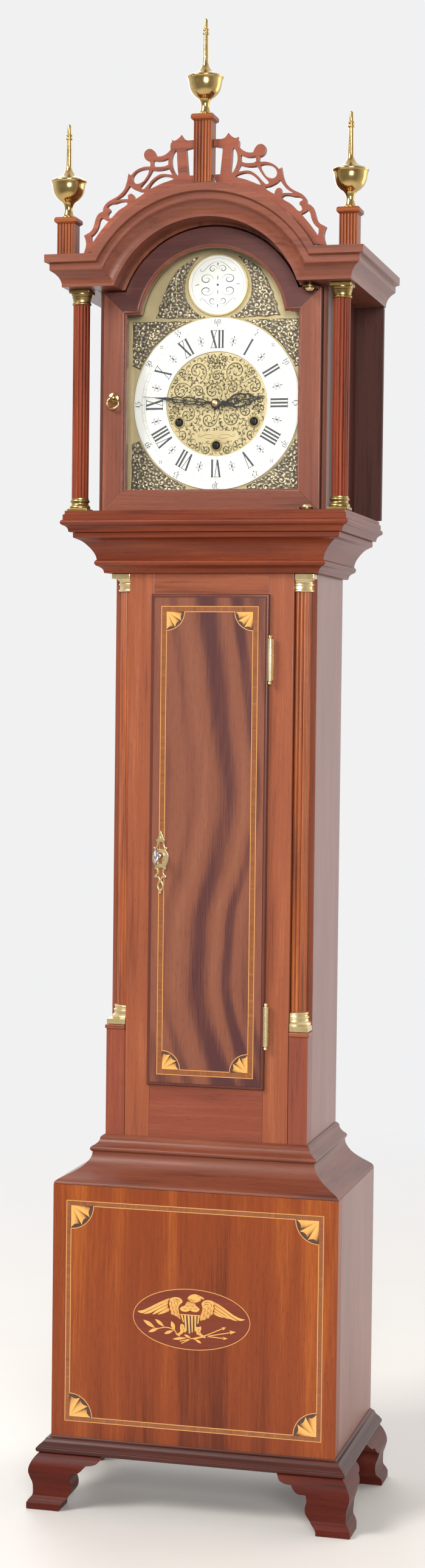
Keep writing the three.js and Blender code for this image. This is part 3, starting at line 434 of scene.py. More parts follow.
class Mat:
    def __init__(self, name):
        self.mat = bpy.data.materials.new(name)
        self.mat.use_nodes = True
        self.nt = self.mat.node_tree
        self.p = self.nt.nodes["Principled BSDF"]

    def node(self, kind, **props):
        n = self.nt.nodes.new(kind)
        for k, v in props.items():
            setattr(n, k, v)
        return n

    def link(self, a, b):
        self.nt.links.new(a, b)

    def set(self, sock, value):
        if isinstance(value, bpy.types.NodeSocket):
            self.link(value, sock)
        else:
            sock.default_value = value

    def math(self, op, a, b=0.0, c=None, clamp=False):
        n = self.node("ShaderNodeMath", operation=op, use_clamp=clamp)
        self.set(n.inputs[0], a)
        self.set(n.inputs[1], b)
        if c is not None:
            self.set(n.inputs[2], c)
        return n.outputs[0]

    def vmul(self, v, k):
        n = self.node("ShaderNodeVectorMath", operation="MULTIPLY")
        self.set(n.inputs[0], v)
        n.inputs[1].default_value = k
        return n.outputs[0]

    def vadd(self, v, w):
        n = self.node("ShaderNodeVectorMath", operation="ADD")
        self.set(n.inputs[0], v)
        self.set(n.inputs[1], w)
        return n.outputs[0]

    def noise(self, v, scale, detail=2.0, rough=0.5, distort=0.0):
        n = self.node("ShaderNodeTexNoise")
        self.set(n.inputs["Vector"], v)
        n.inputs["Scale"].default_value = scale
        n.inputs["Detail"].default_value = detail
        n.inputs["Roughness"].default_value = rough
        n.inputs["Distortion"].default_value = distort
        return n.outputs["Fac"]

    def ramp(self, fac, stops, ease="LINEAR"):
        n = self.node("ShaderNodeValToRGB")
        n.color_ramp.interpolation = ease
        while len(n.color_ramp.elements) < len(stops):
            n.color_ramp.elements.new(0.5)
        for e, (at, col) in zip(n.color_ramp.elements, stops):
            e.position = at
            e.color = col if hasattr(col, "__len__") else (col, col, col, 1)
        self.set(n.inputs[0], fac)
        return n.outputs[0]

    def mix(self, fac, a, b, blend="MIX"):
        n = self.node("ShaderNodeMix", data_type="RGBA", blend_type=blend)
        self.set(n.inputs[0], fac)
        self.set(n.inputs[6], a)
        self.set(n.inputs[7], b)
        return n.outputs[2]

    def attr(self, name, out="Vector"):
        return self.node("ShaderNodeAttribute", attribute_name=name).outputs[out]

    def span(self, v, a, b, lo, hi):
        n = self.node("ShaderNodeMapRange")
        self.set(n.inputs[0], v)
        for i, x in enumerate((a, b, lo, hi)):
            n.inputs[i + 1].default_value = x
        return n.outputs[0]

    def curve(self, v, points):
        n = self.node("ShaderNodeFloatCurve")
        c = n.mapping.curves[0]
        while len(c.points) < len(points):
            c.points.new(0.5, 0.5)
        for p, (a, b) in zip(c.points, points):
            p.location = (a, b)
            p.handle_type = "AUTO"
        n.mapping.update()
        self.set(n.inputs[1], v)
        return n.outputs[0]

    def bump(self, height, strength, distance):
        n = self.node("ShaderNodeBump")
        n.inputs["Strength"].default_value = strength
        n.inputs["Distance"].default_value = distance
        self.set(n.inputs["Height"], height)
        self.link(n.outputs[0], self.p.inputs["Normal"])


def wood(
    name,
    dark,
    mid,
    light,
    band=16.0,
    kb=0.9,
    ks=0.55,
    kf=0.35,
    wave=0.006,
    rough=(0.42, 0.34),
    coat=0.18,
    coat_rough=0.2,
    pore=0.35,
    figure=None,
    coords="grain",
    spec=0.42,
):
    """Lacquered wood: broad ribbon bands, streaks, fine lines and open pores that run along the grain."""
    m = Mat(name)
    if coords == "grain":
        g = m.attr("grain")
    else:
        tc = m.node("ShaderNodeTexCoord").outputs["Object"]
        sep = m.node("ShaderNodeSeparateXYZ")
        m.link(tc, sep.inputs[0])
        com = m.node("ShaderNodeCombineXYZ")
        for i, ax in enumerate({"z": (2, 0, 1), "x": (0, 2, 1), "y": (1, 2, 0)}[coords]):
            m.link(sep.outputs[ax], com.inputs[i])
        g = com.outputs[0]
    drift = m.noise(m.vmul(g, (2.6, 7.0, 7.0)), 1.0, 2.0, 0.5)
    push = m.node("ShaderNodeCombineXYZ")
    m.link(m.math("MULTIPLY", m.math("SUBTRACT", drift, 0.5), wave * 2), push.inputs[1])
    w = m.vadd(g, push.outputs[0])
    bands = m.noise(m.vmul(w, (0.10, 1.0, 0.6)), band * 4, 2.5, 0.5)
    streak = m.noise(m.vmul(w, (0.028, 1.0, 1.0)), 330.0, 3.5, 0.62)
    fine = m.noise(m.vmul(w, (0.022, 1.0, 1.0)), 1500.0, 2.0, 0.6)
    fac = m.math("MULTIPLY_ADD", m.math("SUBTRACT", bands, 0.5), kb, 0.5)
    fac = m.math("MULTIPLY_ADD", m.math("SUBTRACT", streak, 0.5), ks, fac)
    fac = m.math("MULTIPLY_ADD", m.math("SUBTRACT", fine, 0.5), kf, fac)
    if figure:
        fac = m.math("ADD", fac, figure(m, g))
    col = m.ramp(fac, [(0.22, dark), (0.5, mid), (0.8, light)], "EASE")
    dash = m.noise(m.vmul(w, (0.055, 1.0, 1.0)), 2300.0, 1.0, 0.5)
    pores = m.span(dash, 0.60, 0.72, 0.0, 1.0)
    col = m.mix(m.math("MULTIPLY", pores, pore), col, (dark[0] * 0.45, dark[1] * 0.4, dark[2] * 0.45, 1))
    m.link(col, m.p.inputs["Base Color"])
    haze = m.noise(m.vmul(g, (3.0, 9.0, 9.0)), 2.2, 3.0, 0.6)
    r = m.span(m.math("MULTIPLY_ADD", haze, 0.6, m.math("MULTIPLY", fac, 0.4)), 0.25, 0.75, rough[0], rough[1])
    m.link(r, m.p.inputs["Roughness"])
    m.p.inputs["Coat Weight"].default_value = coat
    m.p.inputs["Coat Roughness"].default_value = coat_rough
    m.p.inputs["Specular IOR Level"].default_value = spec
    h = m.math("MULTIPLY_ADD", pores, -0.8, m.math("MULTIPLY", fine, 0.5))
    m.bump(h, 0.10, 0.00025)
    return m.mat


def metal(name, base, light, rough=(0.12, 0.24), scale=60.0, stretch=(1, 1, 1), bump=0.02, spots=0.12, stain=None, metallic=1.0):
    """Metal with faint cloudy tarnish and a worked surface."""
    m = Mat(name)
    tc = m.node("ShaderNodeTexCoord").outputs["Object"]
    cloud = m.noise(tc, scale, 4.0, 0.6)
    fine = m.noise(m.vmul(tc, stretch), 900.0, 3.0, 0.6)
    col = m.mix(m.span(cloud, 0.3, 0.7, 0, 1), base, light)
    tarnish = m.span(m.noise(tc, scale * 2.7, 3.0, 0.65), 0.58, 0.75, 0.0, spots)
    col = m.mix(tarnish, col, stain or (base[0] * 0.35, base[1] * 0.3, base[2] * 0.25, 1))
    m.link(col, m.p.inputs["Base Color"])
    m.p.inputs["Metallic"].default_value = metallic
    m.link(m.span(m.math("MULTIPLY_ADD", cloud, 0.5, m.math("MULTIPLY", fine, 0.5)), 0.3, 0.7, rough[0], rough[1]), m.p.inputs["Roughness"])
    m.bump(fine, bump, 0.0004)
    return m.mat


def plain(name, a, b, rough=(0.4, 0.55), scale=80.0, metallic=0.0, bump=0.03, coat=0.0, detail=4.0):
    m = Mat(name)
    tc = m.node("ShaderNodeTexCoord").outputs["Object"]
    n = m.noise(tc, scale, detail, 0.6)
    m.link(m.mix(m.span(n, 0.3, 0.7, 0, 1), a, b), m.p.inputs["Base Color"])
    m.link(m.span(n, 0.3, 0.7, rough[0], rough[1]), m.p.inputs["Roughness"])
    m.p.inputs["Metallic"].default_value = metallic
    m.p.inputs["Coat Weight"].default_value = coat
    m.bump(m.noise(tc, scale * 9, 2.0, 0.5), bump, 0.0002)
    return m.mat


def shaded(name, dark, mid, light, rough=(0.38, 0.46), metallic=None, stretch=(0.05, 1, 1), scale=420.0):
    """A finish that follows the piece's own shade: scorched sand shading on inlay; on castings, patina in the hollows
    and a painted highlight on the high parts.
    """
    m = Mat(name)
    g = m.attr("grain")
    s = m.attr("shade", "Fac")
    n = m.noise(m.vmul(g, stretch), scale, 3.0, 0.6)
    fac = m.math("MULTIPLY_ADD", m.math("SUBTRACT", n, 0.5), 0.35, s)
    m.link(m.ramp(fac, [(0.05, dark), (0.45, mid), (0.9, light)]), m.p.inputs["Base Color"])
    m.link(m.span(n, 0.3, 0.7, rough[0], rough[1]), m.p.inputs["Roughness"])
    if metallic is not None:
        m.link(m.span(fac, 0.1, 0.6, metallic[0], metallic[1]), m.p.inputs["Metallic"])
    else:
        m.p.inputs["Coat Weight"].default_value = 0.25
        m.p.inputs["Coat Roughness"].default_value = 0.2
    m.bump(n, 0.04, 0.0002)
    return m.mat


# ------------------------------------------------------------------ materials
def door_figure(m, g):
    """Soft dark ribbons that wind down the waist door: their path as an offset of x for each height."""
    tc = m.node("ShaderNodeTexCoord").outputs["Object"]
    sep = m.node("ShaderNodeSeparateXYZ")
    m.link(tc, sep.inputs[0])
    t = m.span(sep.outputs[2], 0.36, 0.79, 0.0, 1.0)
    path = [
        (0.0, 18), (0.044, 11), (0.094, 3.4), (0.151, -4.5), (0.221, -9.3), (0.292, -8), (0.349, -5.2), (0.399, 0.8),
        (0.448, 6.7), (0.505, 11.7), (0.575, 16), (0.647, 15.0), (0.717, 11.2), (0.788, 7.2), (0.86, 2.8), (0.93, -1.4), (1.0, -4.5),
    ]
    off = m.curve(t, [(a, (b + 20) / 60) for a, b in path])
    off = m.math("MULTIPLY_ADD", off, 0.060, -0.020)
    u = m.math("SUBTRACT", sep.outputs[0], off)
    slow = m.noise(tc, 9.0, 2.0, 0.5)
    u = m.math("MULTIPLY_ADD", m.math("SUBTRACT", slow, 0.5), 0.008, u)
    across = [
        (-60, 0.46), (-50, 0.36), (-43, 0.54), (-36, 0.56), (-30, 0.34), (-24, 0.48), (-18, 0.64), (-12, 0.52), (-8, 0.36),
        (-4, 0.22), (0, 0.14), (4, 0.16), (8, 0.28), (12, 0.42), (16, 0.60), (19, 0.56), (23, 0.32), (27, 0.18), (31, 0.30),
        (36, 0.52), (43, 0.34), (52, 0.52), (60, 0.46),
    ]
    bands = m.curve(m.span(u, -0.060, 0.060, 0.0, 1.0), [((a + 60) / 120, b) for a, b in across])
    depth = m.curve(t, [(0.0, 0.52), (0.12, 0.66), (0.34, 0.72), (0.55, 0.66), (0.75, 0.64), (0.9, 0.62), (1.0, 0.56)])
    ribbons = m.math("MULTIPLY", m.math("SUBTRACT", bands, 0.5), depth)
    ends = m.curve(t, [(0.0, 0.40), (0.07, 0.45), (0.2, 0.51), (0.8, 0.5), (0.93, 0.47), (1.0, 0.43)])
    low = m.curve(t, [(0.0, 0.36), (0.1, 0.42), (0.26, 0.5), (0.8, 0.5), (0.92, 0.46), (1.0, 0.43)])
    low = m.math("MULTIPLY", m.math("SUBTRACT", low, 0.5), m.span(sep.outputs[0], 0.0, 0.03, 0.0, 1.0))
    return m.math("ADD", ribbons, m.math("ADD", m.math("SUBTRACT", ends, 0.5), low))


def base_figure(m, g):
    """Straight ribbon stripes of the base panel."""
    tc = m.node("ShaderNodeTexCoord").outputs["Object"]
    sep = m.node("ShaderNodeSeparateXYZ")
    m.link(tc, sep.inputs[0])
    slow = m.noise(m.vmul(tc, (1, 1, 0.35)), 16.0, 2.0, 0.5)
    x = m.math("MULTIPLY_ADD", m.math("SUBTRACT", slow, 0.5), 0.016, sep.outputs[0])
    t = m.span(x, -0.125, 0.125, 0.0, 1.0)
    bands = m.curve(
        t,
        [
            (0.0, 0.48), (0.05, 0.52), (0.10, 0.72), (0.135, 0.52), (0.17, 0.46), (0.22, 0.62), (0.26, 0.48), (0.31, 0.38),
            (0.37, 0.42), (0.425, 0.60), (0.455, 0.31), (0.50, 0.28), (0.56, 0.33), (0.61, 0.24), (0.645, 0.46), (0.70, 0.44),
            (0.75, 0.42), (0.80, 0.60), (0.86, 0.50), (0.92, 0.70), (1.0, 0.60),
        ],
    )
    depth = m.span(sep.outputs[2], 0.06, 0.26, 0.74, 0.46)
    stripes = m.math("MULTIPLY", m.math("SUBTRACT", bands, 0.5), depth)
    return m.math("ADD", stripes, m.span(sep.outputs[2], 0.06, 0.26, -0.06, 0.07))


W = {
    "mahogany": wood("mahogany", lin(83, 37, 26), lin(117, 62, 43), lin(140, 81, 58), kb=0.55),
    # lower cove: darker than the rest of the mahogany, as painted shade in its hollow
    "lower_cove_with_painted_shade": wood("mahogany_lower_cove_with_painted_shade", lin(78, 32, 21), lin(110, 55, 35), lin(132, 73, 49)),
    "hood": wood("mahogany_hood", lin(83, 37, 26), lin(114, 60, 42), lin(137, 78, 57), kb=0.7),
    "fret": wood("mahogany_fret", lin(96, 41, 28), lin(131, 66, 44), lin(157, 86, 60), kb=0.7),
    # arch rail of the hood door: a darker board, with painted shade from the cornice above added to its colour
    "arch_rail_darker_plus_painted_shade": wood("mahogany_arch_rail_darker_plus_painted_shade", lin(58, 23, 21), lin(80, 39, 35), lin(97, 52, 48), kb=0.7),
    # hood sides: darkened with painted shade for their place beside the columns and under the cornice
    "shade_painted_hood_panel": wood("mahogany_shade_painted_hood_panel", lin(54, 21, 18), lin(76, 36, 31), lin(91, 48, 42), kb=0.7, spec=0.25, coat=0.06),
    "amber": wood("mahogany_amber", lin(104, 47, 25), lin(137, 71, 42), lin(157, 90, 57), kb=0.7),
    "post": wood("mahogany_post", lin(94, 40, 26), lin(124, 59, 39), lin(146, 77, 53), kb=0.6),
    "column": wood("mahogany_column", lin(102, 42, 16), lin(148, 74, 32), lin(177, 99, 48), kb=0.8, ks=0.9),
    "cove": wood("mahogany_cove", lin(77, 25, 9), lin(109, 44, 19), lin(131, 60, 29), spec=0.3, coat=0.08),
    "hood_col": wood("mahogany_hood_column", lin(78, 23, 7), lin(116, 44, 16), lin(139, 61, 27), kb=0.8, ks=0.9, rough=(0.5, 0.42), spec=0.2, coat=0.03),
    "plinth": wood("mahogany_plinth", lin(86, 33, 10), lin(126, 60, 24), lin(151, 81, 37), kb=0.8, ks=0.9, spec=0.28, coat=0.06),
    "door": wood("mahogany_figured", lin(73, 37, 37), lin(120, 70, 51), lin(139, 87, 64), kb=0.16, ks=0.14, kf=0.26, figure=door_figure, rough=(0.42, 0.35), coat=0.12, coat_rough=0.2, spec=0.34),
    # the door's moulded edge: a darker stain on the edge, together with painted shade along it
    "rim_stain_and_painted_shade": wood("mahogany_rim_stain_and_painted_shade", lin(52, 22, 19), lin(88, 44, 34), lin(108, 60, 46), kb=0.4, ks=0.4, rough=(0.42, 0.35), coat=0.1, coat_rough=0.2, spec=0.3),
    "base": wood("mahogany_striped", lin(84, 32, 10), lin(123, 54, 19), lin(155, 80, 28), kb=0.30, ks=0.28, figure=base_figure, rough=(0.38, 0.30), coat=0.08, coat_rough=0.2, spec=0.28),
    "side": wood("mahogany_side", lin(92, 42, 25), lin(121, 60, 37), lin(141, 76, 48), kb=0.6, rough=(0.36, 0.28), coat=0.32, coat_rough=0.24),
    "dark": wood("mahogany_dark", lin(35, 11, 7), lin(63, 24, 16), lin(89, 38, 26), kb=0.6, spec=0.3, coat=0.12),
    "foot": wood("mahogany_foot", lin(40, 9, 6), lin(77, 24, 13), lin(104, 37, 23), kb=0.7, ks=0.45, spec=0.16, coat=0.04),
    "cross": wood("crossband", lin(96, 52, 24), lin(128, 74, 38), lin(154, 98, 56), band=60, kb=0.45, ks=0.5, pore=0.2),
    "plain": wood("secondary_wood", lin(112, 80, 50), lin(148, 110, 72), lin(176, 138, 96), kb=0.7, rough=(0.68, 0.58), coat=0.0, pore=0.25),
    "mask": wood("mahogany_mask", lin(77, 35, 21), lin(112, 57, 37), lin(135, 76, 51), coords="z"),
    "seat": wood("seat_wood", lin(112, 80, 50), lin(148, 110, 72), lin(176, 138, 96), coords="x", rough=(0.7, 0.6), coat=0.0),
}
BRASS = metal("antique_brass", lin(188, 156, 94), lin(212, 184, 126), rough=(0.13, 0.22), bump=0.003, spots=0.3, stain=lin(104, 82, 46))
# hood door pivots: brass darkened as painted shade under the cornice
SHADE_DARKENED_BRASS = metal("brass_with_painted_shade", lin(86, 66, 42), lin(116, 92, 58), rough=(0.34, 0.46), bump=0.01, spots=0.4, stain=lin(44, 34, 22))
# a duller, darker brass for the hood column mounts and the waist hinge leaves
DULL_DARK_BRASS = metal("dull_darker_brass", lin(138, 114, 70), lin(172, 148, 98), rough=(0.28, 0.4), bump=0.01, spots=0.35, stain=lin(74, 58, 34))
HINGE_BRASS = metal("hinge_brass", lin(222, 198, 142), lin(238, 218, 170), rough=(0.24, 0.34), bump=0.008, spots=0.16, stain=lin(140, 114, 68), metallic=0.9)
PALE_BRASS = metal("bright_brass", lin(205, 182, 129), lin(220, 200, 155), rough=(0.18, 0.3), bump=0.01, spots=0.14, stain=lin(137, 112, 70), metallic=0.74)
GILT = metal("dial_gilt", lin(207, 186, 139), lin(223, 204, 159), rough=(0.34, 0.46), scale=40, stretch=(1, 1, 0.1), bump=0.05, metallic=0.45)
# the dial plate's gilt is darker than the centre's, as painted shade from the door frame round it
SHADE_DARKENED_DIAL_GILT = metal("dial_gilt_with_painted_shade", lin(194, 173, 128), lin(208, 190, 147), rough=(0.34, 0.46), scale=40, stretch=(1, 1, 0.1), bump=0.05, metallic=0.45)
CLOCK_BRASS = metal("clock_brass", lin(190, 154, 84), lin(208, 176, 106), rough=(0.24, 0.38), scale=30, stretch=(1, 1, 0.08), bump=0.06)
STEEL = metal("bright_steel", lin(176, 178, 180), lin(206, 206, 208), rough=(0.14, 0.26), stain=lin(120, 116, 110))
# winding squares: steel darkened as painted shade of the winding holes they sit in
ARBOR_STEEL_PAINTED_DARK = metal("arbor_steel_with_painted_shade", lin(52, 50, 50), lin(78, 76, 76), rough=(0.22, 0.34), stain=lin(30, 28, 27))
BLACK = plain("blued_black", lin(20, 20, 23), lin(34, 33, 36), rough=(0.34, 0.48), metallic=0.0, coat=0.2)
NUT = metal("copper_brass", lin(214, 164, 110), lin(236, 194, 146), rough=(0.3, 0.42))
INK = plain("dial_ink", lin(62, 62, 66), lin(78, 77, 80), rough=(0.5, 0.6), scale=300)
GREY_INK = plain("dial_grey_ink", lin(94, 93, 97), lin(112, 111, 114), rough=(0.5, 0.6), scale=300)
FAINT = plain("dial_fine_ink", lin(120, 118, 122), lin(138, 136, 138), rough=(0.5, 0.6), scale=300)
ENGRAVE = plain("engraving", lin(72, 61, 33), lin(94, 81, 47), rough=(0.5, 0.62), scale=200)
WHITE = plain("dial_white", lin(250, 248, 243), lin(253, 252, 249), rough=(0.34, 0.46), scale=14, bump=0.015, coat=0.15)
STRING = wood("inlay_line", lin(175, 121, 63), lin(197, 141, 79), lin(210, 160, 98), band=40, kb=0.5, ks=0.4, pore=0.05)
MAPLE = shaded("inlay_maple", lin(62, 32, 13), lin(184, 126, 58), lin(212, 158, 82))
EBONY = plain("inlay_dark", lin(58, 34, 26), lin(78, 46, 34), rough=(0.4, 0.5), coat=0.2)
# its lightest stop is a near-white painted highlight for the tops of the relief
CAST_PATINA_AND_HIGHLIGHT = shaded("casting_patina_and_painted_highlight", lin(79, 70, 62), lin(176, 160, 131), lin(252, 239, 204), rough=(0.32, 0.46), metallic=(0.35, 0.75), stretch=(1, 1, 1), scale=260.0)


def glass_mat():
    m = Mat("door_glass")
    nt = m.nt
    out = nt.nodes["Material Output"]
    clear = m.node("ShaderNodeBsdfTransparent")
    clear.inputs[0].default_value = (0.97, 0.98, 0.975, 1)
    shine = m.node("ShaderNodeBsdfGlossy")
    shine.inputs["Roughness"].default_value = 0.03
    facing = m.node("ShaderNodeLayerWeight")
    facing.inputs["Blend"].default_value = 0.5
    share = m.math("MULTIPLY_ADD", m.math("POWER", facing.outputs["Facing"], 5.0), 0.9, 0.028)
    mix = m.node("ShaderNodeMixShader")
    m.link(share, mix.inputs[0])
    m.link(clear.outputs[0], mix.inputs[1])
    m.link(shine.outputs[0], mix.inputs[2])
    m.link(mix.outputs[0], out.inputs["Surface"])
    nt.nodes.remove(m.p)
    return m.mat


GLASS = glass_mat()

# ------------------------------------------------------------------ ogee bracket feet
OGEE = [
    (8.1, 47.0), (11.8, 42.6), (14.7, 36.9), (15.45, 31.8), (14.2, 26.7), (12.5, 21.6), (12.05, 16.2),
    (12.4, 11.0), (14.9, 7.9), (16.5, 5.1), (16.5, 0.0),
]
SCALLOP = [
    (48.2, 47.0), (45.0, 42.3), (39.6, 40.3), (34.7, 39.9), (33.1, 37.1), (28.7, 33.5), (21.6, 32.9),
    (21.2, 27.6), (22.9, 21.4), (22.4, 16.1), (18.1, 9.9), (13.2, 4.2), (12.7, 0.0),
]
ogee = spline(OGEE, [8, 9], 6)
scal = spline(SCALLOP, [3, 6], 5)
levels = sorted({round(z, 4) for _, z in ogee} | {round(z, 4) for _, z in scal})
zz = np.array(levels)
out_at = np.interp(zz, [z for _, z in ogee][::-1], [o for o, _ in ogee][::-1])
in_at = np.interp(zz, [z for _, z in scal][::-1], [d for d, _ in scal][::-1])
front_rings, side_rings, rear_rings = [], [], []
for z, o, d in zip(zz, out_at, in_at):
    # two mitred brackets meet at the corner; the mitre runs from the outer edge to the inner one
    front_rings.append([(-125 - o, -o, z), (-125 + d, -o, z), (-125 + d, 8, z), (-117, 8, z)])
    side_rings.append([(-125 - o, -o, z), (-117, 8, z), (-117, d, z), (-125 - o, d, z)])
    rear_rings.append([(-125 - o, 143.1 - d, z), (-117, 143.1 - d, z), (-117, 159.6, z), (-125 - o, 159.6, z)])
for side in ("left", "right"):
    turn = (lambda p: p) if side == "left" else flip
    acc = Acc()
    acc.add(*turn(loft(front_rings)), "x")
    acc.add(*turn(loft(side_rings)), "y")
    piece("foot_front_%s_bracket" % side, acc, W["foot"], "case", "foot_front_" + side, 40)
    acc = Acc()
    acc.add(*turn(loft(rear_rings)), "y")
    piece("foot_rear_%s_bracket" % side, acc, W["foot"], "case", "foot_rear_" + side, 40)


# ------------------------------------------------------------------ mouldings wrapped round the case
def mitred(rings, tags):
    """One closed run of moulding, whose grain turns at the mitres: a grain tag for each length between two rings."""
    acc = Acc()
    acc.add(*loft(rings))
    acc.t = [t for t in tags for _ in rings[0]] + [tags[0], tags[-1]]
    return acc


def wrapped(name, node, line, sharp, inner, mats, back=159.6, sub=6, ease=0.35, body="case"):
    """A moulding of three mitred lengths: profile of (half width, height), closed by the inner points."""
    prof = spline(line, sharp, sub, ease) + list(inner)
    left, right = ([[(k * h, back, z) for h, z in prof], [(k * h, 125 - h, z) for h, z in prof]] for k in (-1, 1))
    return piece(name, mitred(left + right[::-1], "yxy"), mats, body, node, 32)


wrapped(
    "base_moulding", "base_molding",
    [(125.3, 60.4), (126.4, 59.2), (128.4, 58.5), (128.9, 57.4), (130.2, 55.6), (132.4, 53.9), (134.0, 52.6),
     (134.2, 51.9), (135.2, 51.2), (135.5, 49.9), (135.1, 48.4), (134.0, 47.5), (133.4, 47.3)],
    [2, 3, 6, 7], [(125.3, 47.3)], W["dark"],
)
# this moulding's cove finish carries painted shade
wrapped(
    "waist_base_moulding", "waist_base_molding",
    [(89.75, 317.3), (91.2, 316.5), (92.9, 315.0), (93.2, 312.8), (94.4, 310.9), (96.6, 308.9), (98.6, 307.8),
     (99.7, 306.9), (100.1, 305.4), (99.3, 303.8), (98.3, 303.2), (98.5, 300.4), (99.5, 297.7), (101.6, 294.6),
     (104.8, 291.3), (109.5, 288.1), (115.3, 285.1), (120.4, 282.7), (122.6, 281.5), (124.2, 280.2), (124.9, 278.6)],
    [2, 3, 6, 10, 17], [(89.75, 278.6)], W["lower_cove_with_painted_shade"],
)
wrapped(
    "waist_top_moulding", "waist_top_molding",
    [(89.75, 803.0), (94.3, 803.0), (94.5, 804.3), (95.2, 806.0), (96.6, 807.4), (98.6, 808.5), (100.2, 809.3),
     (101.2, 811.0), (100.8, 812.9), (99.5, 813.9), (99.9, 816.4), (101.2, 819.6), (104.3, 824.1), (109.4, 829.1),
     (115.9, 832.2), (115.9, 836.4)],
    [1, 2, 5, 9, 14], [(89.75, 836.4)], W["cove"],
)
wrapped(
    "hood_base_moulding", "hood_base_frame",
    [(90.5, 836.7), (119.0, 836.7), (119.2, 838.3), (119.9, 840.0), (121.3, 841.4), (123.0, 842.2), (124.4, 843.1),
     (124.9, 844.6), (124.3, 846.2), (123.0, 846.9), (123.0, 851.2), (122.2, 851.5), (121.6, 852.2), (121.6, 854.5)],
    [1, 2, 5, 9, 10, 12], [(90.5, 854.5)], W["cove"], body="hood",
)

# ------------------------------------------------------------------ base box
one("base_panel", box(-125, 125, 0, 14, 47.3, 278.3, 0.7), W["base"], "case", "base_front_panel")
one("base_side_left_board", box(-125, -113, 14.02, 159.6, 47.3, 278.3, 0.4), W["side"], "case", "base_left_side")
one("base_side_right_board", box(113, 125, 14.02, 159.6, 47.3, 278.3, 0.4), W["side"], "case", "base_right_side")

# ------------------------------------------------------------------ waist
for side in ("left", "right"):
    turn = (lambda p: p) if side == "left" else flip
    acc = Acc()
    acc.add(*turn(prism([(-89.45, 52.5), (-72.6, 52.5), (-72.6, 66), (-77.5, 66), (-77.5, 159.6), (-89.45, 159.6)], 279.0, 852.0, "z", 0.5)), "z", 0)
    acc.add(*turn(box(-89.45, -72.6, 35.5, 52.45, 279.0, 409.2, 0.5)), "z", 1)
    nose = [(34.3, 409.4), (34.0, 410.4), (34.05, 411.8), (34.6, 412.9), (53.0, 413.0), (53.0, 409.2)]
    acc.add(*turn(box(-90.6, -72.6, 34.2, 52.4, 409.2, 413.0, 1.1, 3)), "x", 2)
    piece("waist_side_%s_board" % side, acc, [W["side"], W["post"], W["amber"]], "case", "waist_%s_side" % side)
acc = Acc()
for x in (-1, 1):
    acc.add(*box(min(x * 50.3, x * 72.3), max(x * 50.3, x * 72.3), 35.5, 52.2, 279.0, 852.0, 0.45), "z", 0)
acc.add(*box(-50.28, 50.28, 35.52, 52.2, 781.5, 852.0, 0.3), "x", 1)
acc.add(*box(-50.28, 50.28, 35.52, 52.2, 279.0, 366.0, 0.3), "x", 2)
piece("waist_frame", acc, [W["amber"], W["amber"], W["post"]], "case", "waist_front_frame")


def reeded(n, r, depth, a0, a1, per=7):
    """Outline of a reeded shaft: n round reeds between two angles, with narrow quirks between them."""
    pts = []
    for i in range(n):
        for k in range(per):
            u = -0.93 + 1.86 * k / (per - 1)
            a = a0 + (a1 - a0) * (i + 0.5 + 0.5 * u) / n
            pts.append(((r - depth + depth * math.sqrt(1 - u * u)), a))
        a = a0 + (a1 - a0) * (i + 1) / n
        pts.append((r - depth * 1.05, a))
    return pts


CX, CZ_Y = -72.8, 52.2
for side in ("left", "right"):
    turn = (lambda p: p) if side == "left" else flip
    line = reeded(5, 12.0, 1.25, -PI / 2, -PI, 7)[:-1]
    plan = [(CX, CZ_Y)] + [(CX, CZ_Y - 10.9)] + [(CX + r * math.cos(a), CZ_Y + r * math.sin(a)) for r, a in line] + [(CX - 10.9, CZ_Y)]
    shaft = prism(plan, 426.0, 790.0, "z")

    def corner_turn(prof, sq_lo, sq_hi):
        """Quarter-turned brass mounting with its square tile."""
        rings = []
        for r, z in prof:
            rings.append([(CX, CZ_Y, z)] + [(CX + r * math.cos(a), CZ_Y + r * math.sin(a), z) for a in np.linspace(-PI / 2, -PI, 15)])
        w, z0, z1 = sq_lo
        parts = [loft(rings)]
        parts.append(box(CX - w, CX, CZ_Y - w, CZ_Y, z0, z1, 0.45))
        return joined(parts)

    cap = spline([(12.9, 787.3), (13.7, 787.9), (13.6, 789.1), (12.9, 789.6), (12.9, 792.4), (13.5, 792.9), (13.5, 794.2), (13.0, 794.8),
                  (13.4, 796.2), (14.6, 797.4), (15.3, 798.4)], [0, 3, 4, 7], 4)
    foot = spline([(15.7, 417.8), (15.9, 419.2), (15.0, 420.6), (14.1, 421.4), (13.9, 423.6), (14.4, 424.1), (14.4, 425.3), (13.7, 425.8),
                   (13.3, 427.2), (13.9, 427.8), (13.8, 428.9), (12.9, 429.5)], [3, 4, 7, 8], 4)
    one("waist_column_%s_shaft" % side, turn(shaft), W["column"], "case", "waist_column_" + side, angle=50)
    one("waist_column_%s_capital" % side, turn(corner_turn(cap, (16.2, 798.3, 802.7), None)), PALE_BRASS, "case", "waist_column_" + side)
    one("waist_column_%s_base" % side, turn(corner_turn(foot, (16.5, 413.3, 417.9), None)), PALE_BRASS, "case", "waist_column_" + side)

# backboard, with ears behind the hood, and the seat board
a_end = math.asin((1063.8 - 1014.5) / 100)
back_loop = [(-112.7, 47.3), (112.7, 47.3), (112.7, 278.3), (77.2, 278.3), (77.2, 855.2), (124, 855.2), (124, 1043.0), (99.6, 1043.0), (99.6, 1063.8)]
back_loop += arc(100, 0, 1014.5, a_end, PI - a_end, 40) + [(-99.6, 1063.8), (-99.6, 1043.0), (-124, 1043.0), (-124, 855.2), (-77.2, 855.2), (-77.2, 278.3), (-112.7, 278.3)]
